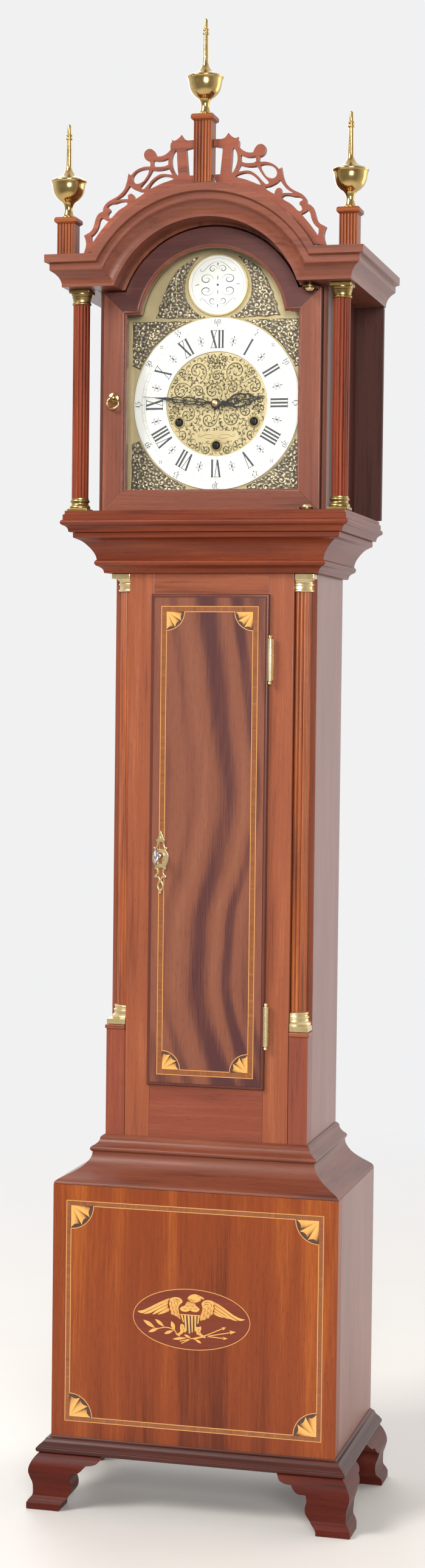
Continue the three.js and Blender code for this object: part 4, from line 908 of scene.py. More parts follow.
# the backboard is darkened with painted shade, so that its ears behind the hood look shaded
one("back_board", prism(back_loop, 153.6, 159.6, "y", 0.5), wood("back_wood_with_painted_shade", lin(50, 24, 19), lin(72, 37, 30), lin(90, 50, 40), kb=0.8, rough=(0.6, 0.5), spec=0.2, coat=0.0), "case", "backboard")
one("movement_seat", prism([(-86, 58), (86, 58), (86, 150), (32, 150), (32, 113), (-32, 113), (-32, 150), (-86, 150)], 852.3, 862.0, "z", 0.8), W["plain"], "case", "seat_board", tag="x")

# ------------------------------------------------------------------ waist door
lip = spline([(0, 35.2), (0, 33.4), (0.35, 32.4), (1.1, 31.75), (2.2, 31.5), (2.9, 31.5), (3.1, 31.05), (3.6, 31.0)], [0, 1, 5, 6], 4)
KEY = (-41.0, 561.0)


def rect(d, y, half=52.0, z0=362.4, z1=785.1):
    return [(-half + d, y, z0 + d), (half - d, y, z0 + d), (half - d, y, z1 - d), (-half + d, y, z1 - d)]


def keyhole(r, w, drop, n=18):
    a = math.asin(w / r)
    return [(KEY[0] - w * 1.25, KEY[1] - drop), (KEY[0] + w * 1.25, KEY[1] - drop)] + arc(r, KEY[0], KEY[1], -PI / 2 + a, 1.5 * PI - a, n)


rings = [rect(d, y) for d, y in lip]
slab_v, slab_f = loft(rings)
HINGES = [("upper", 711.0, 748.0), ("lower", 399.8, 435.1)]


def solid_object(name, part):
    me = bpy.data.meshes.new(name)
    me.from_pydata([tuple(p) for p in part[0]], [], [tuple(f) for f in part[1]])
    bm = bmesh.new()
    bm.from_mesh(me)
    bmesh.ops.recalc_face_normals(bm, faces=bm.faces)
    bm.to_mesh(me)
    bm.free()
    ob = bpy.data.objects.new(name, me)
    bpy.context.scene.collection.objects.link(ob)
    return ob


def carved(part, cutters, op="DIFFERENCE"):
    """The part with the cutters taken away."""
    base = solid_object("stock", part)
    tools = [solid_object("cutter", c) for c in cutters]
    for t in tools:
        m = base.modifiers.new("cut", "BOOLEAN")
        m.operation = op
        m.solver = "EXACT"
        m.object = t
    bpy.context.view_layer.update()
    me = bpy.data.meshes.new_from_object(base.evaluated_get(bpy.context.evaluated_depsgraph_get()))
    out = ([tuple(v.co) for v in me.vertices], [tuple(p.vertices) for p in me.polygons])
    for o in [base, *tools]:
        bpy.data.objects.remove(o)
    bpy.data.meshes.remove(me)
    return out


notches = [box(50.9, 60, 20, 36.5, z0 - 2.8, z1 + 2.8, 0) for _, z0, z1 in HINGES]
hole = prism(keyhole(2.5, 1.3, 7.0), 20, 60, "y")
front = carved((slab_v, slab_f), notches + [hole])
inner = carved(box(-47.8, 48.2, 35.15, 46.0, 366.8, 780.7, 0.5), [hole])


def inset(face):
    """How far a face of the door's front layer lies from the nearest edge of the door."""
    x, z = (sum(front[0][i][k] for i in face) / len(face) for k in (0, 2))
    return min(52.0 - abs(x), z - 362.4, 785.1 - z)


acc = Acc()
acc.add(*front, "z", 0)
# faces within 3.3 mm of the door's edge take the dark rim finish: darker stain plus painted shade
acc.m = [2 if inset(f) <= 3.3 else 0 for f in front[1]]
acc.add(*inner, "z", 1)
piece("waist_door_panel", acc, [W["door"], W["mahogany"], W["rim_stain_and_painted_shade"]], "waist_door", "waist_door", 30)

# butt hinges with knuckles and ball tips
for name, z0, z1 in HINGES:
    prof = [(0, z0 - 2.6), (0.9, z0 - 2.5), (1.5, z0 - 2.0), (1.75, z0 - 1.2), (1.5, z0 - 0.4), (1.05, z0 + 0.1), (1.05, z0 + 0.4), (1.9, z0 + 0.5), (2.2, z0 + 0.9)]
    step = (z1 - z0 - 1.8) / 5
    for k in range(1, 5):
        z = z0 + 0.9 + k * step
        prof += [(2.2, z - 0.35), (2.0, z - 0.12), (2.0, z + 0.12), (2.2, z + 0.35)]
    prof += [(2.2, z1 - 0.9), (1.9, z1 - 0.5), (1.05, z1 - 0.4), (1.05, z1 - 0.1), (1.5, z1 + 0.4), (1.75, z1 + 1.2), (1.5, z1 + 2.0), (0.9, z1 + 2.5), (0, z1 + 2.6)]
    acc = Acc()
    acc.add(*lathe(prof, (53.4, 30.6), 28))
    acc.add(*box(53.5, 55.5, 33.7, 35.3, z0 + 1, z1 - 1, 0.25), "z", 1)
    acc.add(*box(53.7, 54.9, 30.8, 34.4, z0 + 1, z1 - 1, 0.25), "z", 1)
    piece("waist_hinge_%s_brass" % name, acc, [HINGE_BRASS, DULL_DARK_BRASS], "case", "waist_hinge_" + name)

# pierced escutcheon
half = [
    (0.0, 21.6), (0.7, 19.4), (1.6, 17.6), (2.2, 15.6), (2.7, 13.9), (4.6, 13.6), (3.5, 12.2), (3.1, 10.4), (3.5, 8.4),
    (4.4, 6.7), (5.3, 7.3), (6.2, 7.0), (6.1, 5.9), (5.2, 5.1), (4.5, 4.9), (6.0, 3.0), (7.1, 0.0), (7.2, -2.8), (6.4, -5.9),
    (5.3, -8.4), (4.3, -9.8), (5.8, -10.8), (4.4, -11.6), (3.4, -12.8), (3.0, -14.4), (3.3, -15.8), (4.4, -16.8),
    (5.6, -18.2), (4.7, -18.9), (3.2, -18.9), (2.0, -19.5), (1.3, -20.6), (1.2, -21.8), (2.2, -23.5), (2.85, -26.1),
    (2.3, -28.7), (1.1, -30.6), (0.5, -31.4), (0.0, -33.4),
]
loop = [(KEY[0] + x, KEY[1] + z) for x, z in half] + [(KEY[0] - x, KEY[1] + z) for x, z in half[-2:0:-1]]
loop = smooth_loop(loop, 58, 4)
win1 = [(-1.5, 11.6), (1.5, 11.6), (1.9, 9.6), (2.6, 7.2), (3.2, 5.2), (1.6, 5.5), (0, 5.7), (-1.6, 5.5), (-3.2, 5.2), (-2.6, 7.2), (-1.9, 9.6)]
win2 = [(-2.5, -10.6), (0, -10.3), (2.5, -10.6), (1.9, -12.4), (1.7, -14.4), (2.2, -16.4), (3.0, -17.6), (1.6, -18.1), (0.5, -19.2), (0, -20.4),
        (-0.5, -19.2), (-1.6, -18.1), (-3.0, -17.6), (-2.2, -16.4), (-1.7, -14.4), (-1.9, -12.4)]
ring_hole = [(1.75 * math.cos(t), -26.2 + 2.9 * math.sin(t)) for t in np.linspace(0, 2 * PI, 29)[:-1]]
at_key = lambda pts: [(KEY[0] + x, KEY[1] + z) for x, z in pts]
plate = holed(
    [loop, smooth_loop(at_key(win1), 58, 3), smooth_loop(at_key(win2), 58, 3), at_key(ring_hole), keyhole(2.5, 1.3, 7.0)],
    29.7, 31.05, 0.28,
)
acc = Acc()
acc.add(*plate)
acc.add(*lathe([(0, 29.2), (0.6, 29.3), (0.95, 29.7), (0.95, 30.0), (0, 30.0)], (KEY[0], KEY[1] + 15.4), 16, "y"))
acc.add(*lathe([(0, 29.3), (0.45, 29.4), (0.7, 29.7), (0.7, 30.4), (0, 30.4)], (KEY[0], KEY[1] - 32.0), 14, "y"))
piece("keyhole_escutcheon", acc, PALE_BRASS, "waist_door", "escutcheon", 40)
dress("lock_case", CLOCK_BRASS, 0.2)
dress("lock_bolt", STEEL, 0.2)

# key: oval bow, collar, stem and bit
bow = [(KEY[0], 17.2 + 4.1 * math.cos(t), KEY[1] + 6.0 * math.sin(t)) for t in np.linspace(0, 2 * PI, 41)[:-1]]
acc = Acc()
acc.add(*tube(bow, 1.15, 12, close=True))
acc.add(*lathe([(0, 21.4), (1.5, 21.5), (1.5, 22.5), (2.0, 22.7), (2.15, 23.4), (2.0, 24.2), (1.5, 24.5), (1.5, 25.4), (1.75, 25.6), (1.75, 26.2), (1.5, 26.4), (1.5, 51.9), (1.2, 52.2), (0, 52.2)], KEY, 20, "y"))
acc.add(*box(KEY[0] - 0.8, KEY[0] + 0.8, 48.3, 51.7, KEY[1] - 6.3, KEY[1] - 0.5, 0.2))
piece("door_key_steel", acc, STEEL, "door_key", "door_key")


# ------------------------------------------------------------------ inlay on the door and the base
def stringing(name, body, y, half, z0, z1, gap, width, fan_r, cx=0.0):
    """Two light lines with a cross-grained band between them, and a quarter fan of three petals in each corner."""
    f, b = y - 0.10, y + 0.3
    lines, bands, fans, ebony = Acc(), Acc(), Acc(), Acc()
    h0, h1 = width / 2, gap - width / 2

    def frame_bar(acc, o0, o1, tags):
        """A mitred frame between two offsets inside the outer line."""
        o = [(-half + o0, z0 + o0), (half - o0, z0 + o0), (half - o0, z1 - o0), (-half + o0, z1 - o0)]
        i = [(-half + o1, z0 + o1), (half - o1, z0 + o1), (half - o1, z1 - o1), (-half + o1, z1 - o1)]
        for k in range(4):
            n = (k + 1) % 4
            acc.add(*prism([(p[0] + cx, p[1]) for p in (o[k], o[n], i[n], i[k])], f, b), tags[k % 2])

    frame_bar(lines, -h0, h0, "xz")
    frame_bar(bands, h0, h1, "zx")
    g = gap
    x0, x1, a, c = -half + g, half - g, z0 + g, z1 - g
    R = fan_r
    for p, q in (((x0 + R, a), (x1 - R, a)), ((x0 + R, c), (x1 - R, c))):
        lines.add(*ribbon([(p[0] + cx, p[1]), (q[0] + cx, q[1])], width, f, b), "x")
    for p, q in (((x0, a + R), (x0, c - R)), ((x1, a + R), (x1, c - R))):
        lines.add(*ribbon([(p[0] + cx, p[1]), (q[0] + cx, q[1])], width, f, b), "z")
    cusp = 0.955 * R
    for sx, sz, kx, kz in ((1, 1, x0, a), (-1, 1, x1, a), (1, -1, x0, c), (-1, -1, x1, c)):
        to = lambda r, t: (kx + cx + sx * r * math.cos(t), kz + sz * r * math.sin(t))
        lines.add(*ribbon([to(R, t) for t in np.linspace(0, PI / 2, 22)], width * 1.1, f - 0.02, b), "x")
        n = 3
        for k in range(n):
            t0, t1 = PI / 2 * k / n, PI / 2 * (k + 1) / n
            end = lambda u: cusp * (1.0 - 0.15 * math.sin(PI * u) ** 0.75)
            # dark crescent between the scooped end of the petal and the line
            moon = [to(R - width * 0.4, t0 + (t1 - t0) * u) for u in np.linspace(0, 1, 13)]
            moon += [to(end(u) - 0.15, t0 + (t1 - t0) * u) for u in np.linspace(1, 0, 13)]
            ebony.add(*prism(moon, f + 0.02, b), "x")
            na, nr = 12, 9
            v, s = [], []
            for yy in (f - 0.02, b):
                for i in range(nr + 1):
                    for j in range(na + 1):
                        u = j / na
                        t = t0 + (t1 - t0) * (0.008 + 0.984 * u)
                        q = i / nr
                        p = to(0.15 + (end(u) - 0.15) * q, t)
                        v.append((p[0], yy, p[1]))
                        # hot-sand shading down one side of each petal, wider towards its end
                        e = 1 - u if sx * sz > 0 else u
                        burn = math.exp(-((e / (0.06 + 0.34 * q)) ** 1.4)) * (0.45 + 0.55 * q)
                        s.append(max(0.0, 0.97 - 1.0 * burn - 0.10 * q * q))
            m = (nr + 1) * (na + 1)
            f2 = []
            for i in range(nr):
                for j in range(na):
                    q = i * (na + 1) + j
                    f2.append((q, q + 1, q + na + 2, q + na + 1))
                    f2.append((m + q, m + q + na + 1, m + q + na + 2, m + q + 1))
            rim = [j for j in range(na + 1)] + [i * (na + 1) + na for i in range(1, nr + 1)]
            rim += [nr * (na + 1) + j for j in range(na - 1, -1, -1)] + [i * (na + 1) for i in range(nr - 1, 0, -1)]
            f2 += [(rim[i], m + rim[i], m + rim[(i + 1) % len(rim)], rim[(i + 1) % len(rim)]) for i in range(len(rim))]
            fans.add(v, f2, "z", 0, s)
    piece(name + "_stringing", lines, STRING, body)
    piece(name + "_crossband", bands, W["cross"], body)
    piece(name + "_fans", fans, MAPLE, body)
    piece(name + "_fan_shadow", ebony, EBONY, body)


stringing("base_inlay", "case", 0.0, 112.6, 74.1, 264.7, 4.0, 0.62, 20.0)
stringing("door_inlay", "waist_door", 31.0, 42.5, 372.5, 774.5, 4.5, 0.6, 15.9)

# oval with an eagle on the base
OX, OZ = -1.0, 169.5
oval = lambda a, b, n=96: [(OX + a * math.cos(t), OZ + b * math.sin(t)) for t in np.linspace(0, 2 * PI, n + 1)[:-1]]
one("oval_ground", prism(oval(50.8, 25.4), -0.05, 0.3), wood("oval_ground_wood", lin(84, 33, 18), lin(108, 45, 26), lin(122, 56, 33), kb=0.5, pore=0.15, spec=0.28, coat=0.06), "case", tag="x")
ring = oval(51.2, 25.8) + [oval(51.2, 25.8)[0]]
one("oval_line", ribbon(ring, 0.6, -0.12, 0.3), STRING, "case", tag="x")
eagle = Acc()
lines = Acc()


def inlaid(pts, shades, lift=0.0, smooth=True):
    loop = smooth_loop(pts, 50, 3) if smooth else clean(pts)
    v, f = prism([(OX + x, OZ + z) for x, z in loop], -0.16 - lift, 0.3)
    if hasattr(shades, "__call__"):
        s = [shades(p[0] - OX, p[2] - OZ) for p in v]
    else:
        s = [shades] * len(v)
    eagle.add(v, f, "x", 0, s)


def scored(pts, w=0.28, y=-0.27):
    run = spline(pts, (), 4) if len(pts) > 2 else pts
    n = len(run)
    ws = [w * (0.45 + 0.55 * math.sin(PI * i / (n - 1))) for i in range(n)]
    lines.add(*ribbon([(OX + x, OZ + z) for x, z in run], ws, y, 0.1), "x")


FEATHERS = [
    [(-19.7, 17.1), (-25.9, 14.1), (-32.2, 10.7), (-38.4, 7.2), (-43.5, 4.9), (-47.7, 4.2), (-45.5, 2.7), (-42.7, 2.6), (-37.7, 5.3), (-31.4, 8.7), (-25.9, 11.6), (-20.5, 14.4)],
    [(-20.5, 14.1), (-25.9, 11.2), (-31.4, 8.3), (-37.3, 4.9), (-42.5, 2.1), (-40.4, 2.1), (-36.7, 2.9), (-31.4, 5.9), (-25.9, 9.1), (-20.9, 11.7)],
    [(-20.9, 11.3), (-25.9, 8.6), (-31.0, 5.5), (-34.5, 2.1), (-32.2, 2.5), (-27.5, 5.0), (-23.6, 7.3), (-20.9, 9.2)],
    [(-20.9, 8.8), (-23.6, 6.8), (-27.1, 4.5), (-29.8, 2.2), (-27.1, 2.8), (-23.6, 4.0), (-19.5, 6.1), (-19.7, 8.2)],
    [(19.4, 16.7), (22.5, 15.4), (27.2, 12.8), (31.9, 9.7), (36.6, 6.7), (41.2, 4.6), (44.4, 3.8), (47.1, 3.6), (45.2, 2.6), (42.0, 2.2), (38.1, 3.8), (33.4, 6.4), (28.8, 9.4), (24.1, 12.2), (19.8, 14.3)],
    [(19.9, 13.8), (24.1, 11.6), (28.8, 8.8), (33.4, 5.7), (37.7, 3.3), (40.6, 1.8), (37.7, 2.0), (33.4, 3.4), (28.8, 6.5), (24.1, 9.2), (20.2, 11.3)],
    [(20.2, 10.8), (24.1, 8.6), (28.8, 5.9), (33.8, 2.9), (30.3, 3.5), (25.6, 5.9), (21.7, 7.9), (19.8, 9.0)],
    [(19.8, 8.4), (22.5, 7.2), (26.4, 5.1), (28.8, 3.8), (25.6, 4.0), (21.7, 5.1), (19.4, 6.3)],
]
for k, blade in enumerate(FEATHERS):
    inlaid(blade, lambda x, z: 0.52 + 0.46 * min(1.0, max(0.0, (abs(x) - 19.5) / 5.0)), 0.004 * k)
COVERTS = [
    [(-19.5, 16.4), (-16.6, 17.8), (-13.4, 18.3), (-10.3, 17.7), (-8.1, 15.9), (-7.8, 14.3), (-9.5, 12.8), (-10.9, 11.2), (-11.4, 8.9), (-10.9, 5.9), (-10.2, 2.9), (-9.4, -0.6), (-11.1, 0.6), (-12.3, 1.7), (-14.2, 2.3), (-15.0, 3.0), (-17.0, 3.1), (-18.1, 4.3), (-17.7, 6.2), (-18.9, 7.3), (-18.8, 10.0), (-19.7, 12.2), (-19.1, 14.5)],
    [(8.8, 14.6), (10.6, 16.7), (13.5, 17.6), (16.6, 17.6), (19.0, 16.9), (19.7, 15.2), (19.2, 13.1), (19.7, 10.8), (18.8, 8.9), (19.0, 6.6), (17.7, 5.3), (16.2, 4.2), (15.5, 2.4), (13.1, 2.0), (12.0, 0.7), (9.8, 0.4), (8.1, -0.6), (7.7, 1.8), (8.3, 4.8), (9.4, 7.9), (9.8, 10.6), (9.2, 12.5)],
]
for blade in COVERTS:
    inlaid(blade, lambda x, z: 0.62 + 0.30 * min(1.0, max(0.0, (z - 4.0) / 13.0)), 0.06)
SCORES = [
    [(-18.5, 15.1), (-17.2, 13.3), (-17.7, 11.1)], [(-16.7, 16.5), (-14.8, 14.8), (-15.3, 12.3)], [(-13.6, 16.8), (-11.1, 16.1), (-9.8, 14.5)],
    [(-17.5, 10.7), (-16.1, 9.2), (-16.6, 7.2)], [(-14.6, 12.0), (-13.3, 10.2), (-14.0, 7.8)], [(-16.2, 6.6), (-14.9, 5.4), (-15.4, 4.0)],
    [(-13.4, 7.4), (-12.3, 5.7), (-12.9, 3.7)], [(-13.8, 15.4), (-12.0, 13.3), (-12.5, 11.0)], [(-12.0, 3.4), (-10.9, 2.3), (-11.1, 1.1)],
    [(-15.2, 16.9), (-13.0, 16.2), (-11.2, 14.2)], [(10.9, 14.7), (13.1, 16.0), (16.1, 15.9)], [(10.6, 12.6), (12.8, 14.1), (15.5, 13.6)],
    [(16.2, 15.5), (17.7, 13.7), (16.9, 11.7)], [(13.5, 12.6), (15.0, 11.2), (14.1, 9.1)], [(10.6, 10.4), (12.2, 9.2), (11.2, 7.1)],
    [(15.9, 10.8), (17.3, 9.2), (16.4, 7.3)], [(13.5, 8.3), (14.7, 6.9), (13.8, 5.2)], [(10.0, 6.0), (11.4, 4.6), (10.5, 2.8)],
    [(15.5, 6.5), (16.6, 5.5), (15.8, 4.4)], [(12.3, 4.2), (13.3, 3.2), (12.5, 2.1)],
]
for run in SCORES:
    scored(run, 0.42)
BREAST = [(-10.3, 8.6), (-8.6, 10.5), (-6.0, 11.5), (-5.0, 13.3), (-3.3, 15.5), (-1.6, 15.0), (1.0, 14.4), (2.8, 14.2), (4.1, 12.2), (5.9, 10.7), (7.3, 9.5), (6.2, 7.7), (3.8, 6.8), (1.0, 7.0), (-1.1, 7.9), (-3.3, 6.8), (-6.0, 6.4), (-8.8, 7.0)]
inlaid(BREAST, lambda x, z: 0.95 - 0.40 * min(1.0, max(0.0, (z - 10.0) / 4.0)), 0.06)
HEAD = [(-3.6, 17.6), (-2.5, 19.6), (0.2, 21.4), (3.4, 22.0), (6.2, 21.2), (8.8, 20.2), (10.6, 19.4), (11.2, 18.5), (9.8, 18.0), (8.0, 18.5), (8.1, 16.8), (6.5, 16.1), (5.3, 15.3), (3.1, 14.7), (0.6, 15.0), (-1.3, 15.6), (-2.5, 16.7)]
inlaid(HEAD, lambda x, z: 0.92 if z > 17.5 else 0.75, 0.07)
for run in (
    [(-3.3, 16.8), (-2.2, 17.6), (-1.4, 16.4), (-0.2, 17.2), (0.8, 15.9), (1.9, 16.7), (3.0, 15.6)], [(5.3, 20.3), (6.2, 20.0), (7.2, 20.2)],
    [(8.3, 18.9), (9.2, 18.8), (10.2, 18.8)], [(-7.2, 9.5), (-5.5, 8.7), (-3.8, 9.7)], [(-2.5, 9.6), (-0.8, 8.8), (0.9, 9.8)],
    [(2.0, 9.9), (3.6, 9.1), (5.2, 9.9)], [(-5.0, 11.9), (-3.3, 11.1), (-1.6, 12.1)], [(-0.6, 12.0), (0.9, 11.3), (2.5, 12.2)],
):
    scored(run, 0.36)
# shield: a light bar over six pales
for pale in (
    [(-9.8, 4.2), (7.8, 4.2), (7.8, 3.5), (-9.8, 3.5)], [(-9.3, 3.3), (-7.7, 3.3), (-6.4, -2.1), (-7.2, -2.9)], [(-6.4, 3.3), (-4.7, 3.3), (-3.8, -9.9), (-5.0, -9.6)],
    [(-3.3, 3.4), (-1.6, 3.4), (-0.9, -12.0), (-2.0, -11.7)], [(-0.3, 3.4), (1.4, 3.4), (1.4, -10.6), (0.5, -11.0)], [(2.7, 3.4), (4.4, 3.5), (4.0, -9.7), (3.0, -9.9)],
    [(5.8, 3.5), (7.3, 3.5), (6.2, -2.9), (5.3, -3.2)],
):
    inlaid(pale, 0.98, 0.02, False)
shade_loop = [(-9.4, 3.6), (7.4, 3.6), (6.6, -3.0), (4.4, -9.4), (-0.6, -12.2), (-5.2, -9.6), (-7.4, -3.0)]
lines.add(*prism([(OX + x, OZ + z) for x, z in shade_loop], -0.12, 0.1), "x")
LEGS = [
    [(-9.4, -4.6), (-7.2, -4.2), (-6.2, -5.9), (-5.5, -8.0), (-4.4, -9.0), (-4.7, -11.3), (-6.6, -11.1), (-7.8, -12.5), (-9.4, -13.7), (-10.3, -15.4), (-11.5, -14.4), (-12.7, -14.0), (-13.8, -12.4), (-12.0, -12.5), (-10.3, -11.6), (-9.4, -9.9), (-9.8, -7.7)],
    [(4.5, -5.6), (6.5, -5.9), (8.4, -4.9), (8.9, -7.3), (8.1, -9.2), (8.6, -11.1), (10.2, -12.3), (11.9, -13.0), (12.8, -14.6), (11.6, -15.0), (10.2, -14.0), (8.3, -13.2), (6.2, -12.6), (4.8, -12.2), (4.4, -9.8), (4.1, -7.6)],
]
for leg in LEGS:
    inlaid(leg, lambda x, z: 0.88 if z > -10 else 0.72, 0.06)
for run in ([(-8.9, -6.1), (-7.7, -7.1), (-8.1, -8.5)], [(-7.5, -8.4), (-6.4, -9.4), (-7.0, -10.7)], [(5.5, -7.1), (6.9, -7.8), (6.2, -9.2)], [(6.2, -9.7), (7.3, -10.5), (6.9, -11.6)]):
    scored(run, 0.34)
# olive branch
stem = spline([(-13.0, -12.4), (-14.4, -10.4), (-17.3, -8.9), (-22.0, -8.1), (-25.2, -8.6), (-28.3, -9.4), (-31.8, -9.9)], (), 5)
eagle.add(*ribbon([(OX + x, OZ + z) for x, z in stem], 0.75, -0.2, 0.3), "x", 0, 0.85)
for (bx, bz), (tx, tz), w in (
    ((-31.4, -9.6), (-42.3, -3.2), 1.65), ((-23.4, -7.9), (-31.8, -1.8), 1.4), ((-14.4, -10.8), (-17.5, -2.5), 1.7), ((-28.1, -9.2), (-37.8, -13.3), 1.35),
    ((-15.4, -10.4), (-23.8, -13.7), 1.3), ((-3.3, -15.7), (-16.3, -17.8), 1.1), ((0.2, -16.0), (-6.2, -13.2), 1.0), ((3.1, -16.4), (9.1, -19.5), 1.0),
):
    dx, dz = tx - bx, tz - bz
    L = math.hypot(dx, dz)
    nx, nz = -dz / L, dx / L
    leaf = []
    for u, q in ((0, 0.05), (0.25, 0.62), (0.55, 1.0), (0.8, 0.66), (1, 0), (0.8, -0.66), (0.55, -1.0), (0.25, -0.62)):
        leaf.append((bx + dx * u + nx * q * w, bz + dz * u + nz * q * w))
    inlaid(leaf, lambda x, z, bx=bx, bz=bz, L=L: 0.5 + 0.46 * min(1.0, math.hypot(x - bx, z - bz) / (0.5 * L)), 0.03)
# arrows
for run in ([(-9.8, -19.2), (0.6, -16.2), (10.9, -13.2), (27.2, -5.8)], [(2.2, -16.6), (11.6, -13.8), (34.1, -8.6)], [(10.9, -13.2), (13.1, -13.3), (28.1, -13.9)], [(-0.3, -16.5), (-8.4, -20.9)]):
    run = spline(run, (), 5) if len(run) > 2 else run
    eagle.add(*ribbon([(OX + x, OZ + z) for x, z in run], 0.72, -0.2, 0.3), "x", 0, 0.9)
for tip in ([(30.5, -4.4), (26.6, -4.6), (27.5, -5.7), (28.0, -7.0)], [(39.1, -7.7), (33.4, -6.8), (34.4, -8.3), (34.2, -10.0)], [(32.0, -13.8), (27.8, -12.6), (28.6, -13.8), (28.1, -15.2)]):
    inlaid(tip, 0.92, 0.03, False)
piece("oval_eagle", eagle, MAPLE, "case")
piece("oval_eagle_lines", lines, EBONY, "case")


# ------------------------------------------------------------------ hood
# the hood side boards carry painted shade in their dark finish
for side, x in (("left", -1), ("right", 1)):
    turn = (lambda p: p) if side == "left" else flip
    one("hood_side_%s_board" % side, turn(box(-99.7, -88.2, 43.1, 153.2, 854.8, 1063.8, 0.4)), W["shade_painted_hood_panel"], "hood", "hood_%s_side" % side)
dress("hood_front_frame", W["mask"], 0.3)
ROOF = 105
ro, ri = math.asin((1069.1 - 1014.5) / ROOF), math.asin((1064.1 - 1014.5) / 100.4)
roof = [(-99.7, 1064.1), (-99.7, 1069.1)] + arc(ROOF, 0, 1014.5, PI - ro, ro, 48) + [(99.7, 1069.1), (99.7, 1064.1)] + arc(100.4, 0, 1014.5, ri, PI - ri, 48)
one("bonnet_roof", prism(roof, 25, 153.2, "y", 0.4, 2, 60), wood("bonnet_wood", lin(78, 36, 28), lin(108, 54, 40), lin(130, 72, 52), rough=(0.55, 0.45), coat=0.1), "hood", "hood_roof", tag="y", angle=40)

# cornice: returns, shoulders and arch in one run of moulding
SOFFIT, ARCH_Z, LIP = 1043.3, 1014.5, 84.2
corn = spline([(0, 0), (2.3, 0.05), (4.6, 0.6), (7.6, 2.1), (10.5, 4.8), (12.6, 8.0), (13.3, 8.4), (18.2, 8.4), (18.6, 9.4), (19.0, 11.0), (19.5, 12.0), (25.8, 12.0)], [1, 5, 6, 7, 8, 10], 6, 0.3)
corn += [(25.8, -24.7), (0, -24.7)]


def corn_ring(a_of, s=1):
    out = []
    for o, q in corn:
        a0 = math.asin((SOFFIT + o - ARCH_Z) / (LIP + o))
        a = PI - a0 - (PI - 2 * a0) * a_of
        out.append(((LIP + o) * math.cos(a), -q, ARCH_Z + (LIP + o) * math.sin(a)))
    return out


left0 = [(-125 - q, 159.6, SOFFIT + o) for o, q in corn]
left1 = [(-125 - q, -q, SOFFIT + o) for o, q in corn]
right1 = [(125 + q, -q, SOFFIT + o) for o, q in corn]
right0 = [(125 + q, 159.6, SOFFIT + o) for o, q in corn]
acc = mitred([left0, left1] + [corn_ring(i / 72) for i in range(73)] + [right1, right0], "y" + "x" * 74 + "y")
piece("cornice_moulding", acc, W["mahogany"], "hood", "hood_cornice", 32)

# free-standing columns: reeded shaft between turned brass mountings
for side, x in (("left", -113.5), ("right", 113.5)):
    line = reeded(12, 7.2, 0.95, 0, 2 * PI, 7)
    plan = [(x + r * math.cos(a), 21 + r * math.sin(a)) for r, a in line]
    one("hood_column_%s_shaft" % side, prism(plan, 865.0, 1032.0, "z"), W["hood_col"], "hood", "hood_column_" + side, angle=50)
    base = spline([(0, 857.0), (8.5, 857.0), (8.9, 858.0), (8.6, 859.4), (7.7, 860.3), (7.3, 861.4), (7.5, 862.4), (8.1, 862.9), (8.3, 863.7), (8.0, 864.5), (7.5, 864.9), (7.5, 866.0), (0, 866.0)], [1, 4, 6, 10, 11], 4)
    capital = spline([(0, 1030.4), (7.5, 1030.4), (8.2, 1030.9), (8.3, 1031.6), (7.9, 1032.3), (7.5, 1032.6), (7.5, 1034.0), (7.9, 1035.6), (8.5, 1037.2), (8.3, 1037.8), (8.9, 1038.9), (9.1, 1040.2), (0, 1040.2)], [1, 5, 6, 8, 9, 11], 4)
    acc = Acc()
    acc.add(*lathe(base, (x, 21), 40))
    acc.add(*box(x - 8.9, x + 8.9, 21 - 8.9, 21 + 8.9, 854.8, 857.2, 0.4))
    piece("hood_column_%s_base" % side, acc, DULL_DARK_BRASS, "hood", "hood_column_" + side)
    acc = Acc()
    acc.add(*lathe(capital, (x, 21), 40))
    acc.add(*box(x - 9, x + 9, 12, 30, 1040.0, 1043.0, 0.4))
    piece("hood_column_%s_capital" % side, acc, DULL_DARK_BRASS, "hood", "hood_column_" + side)

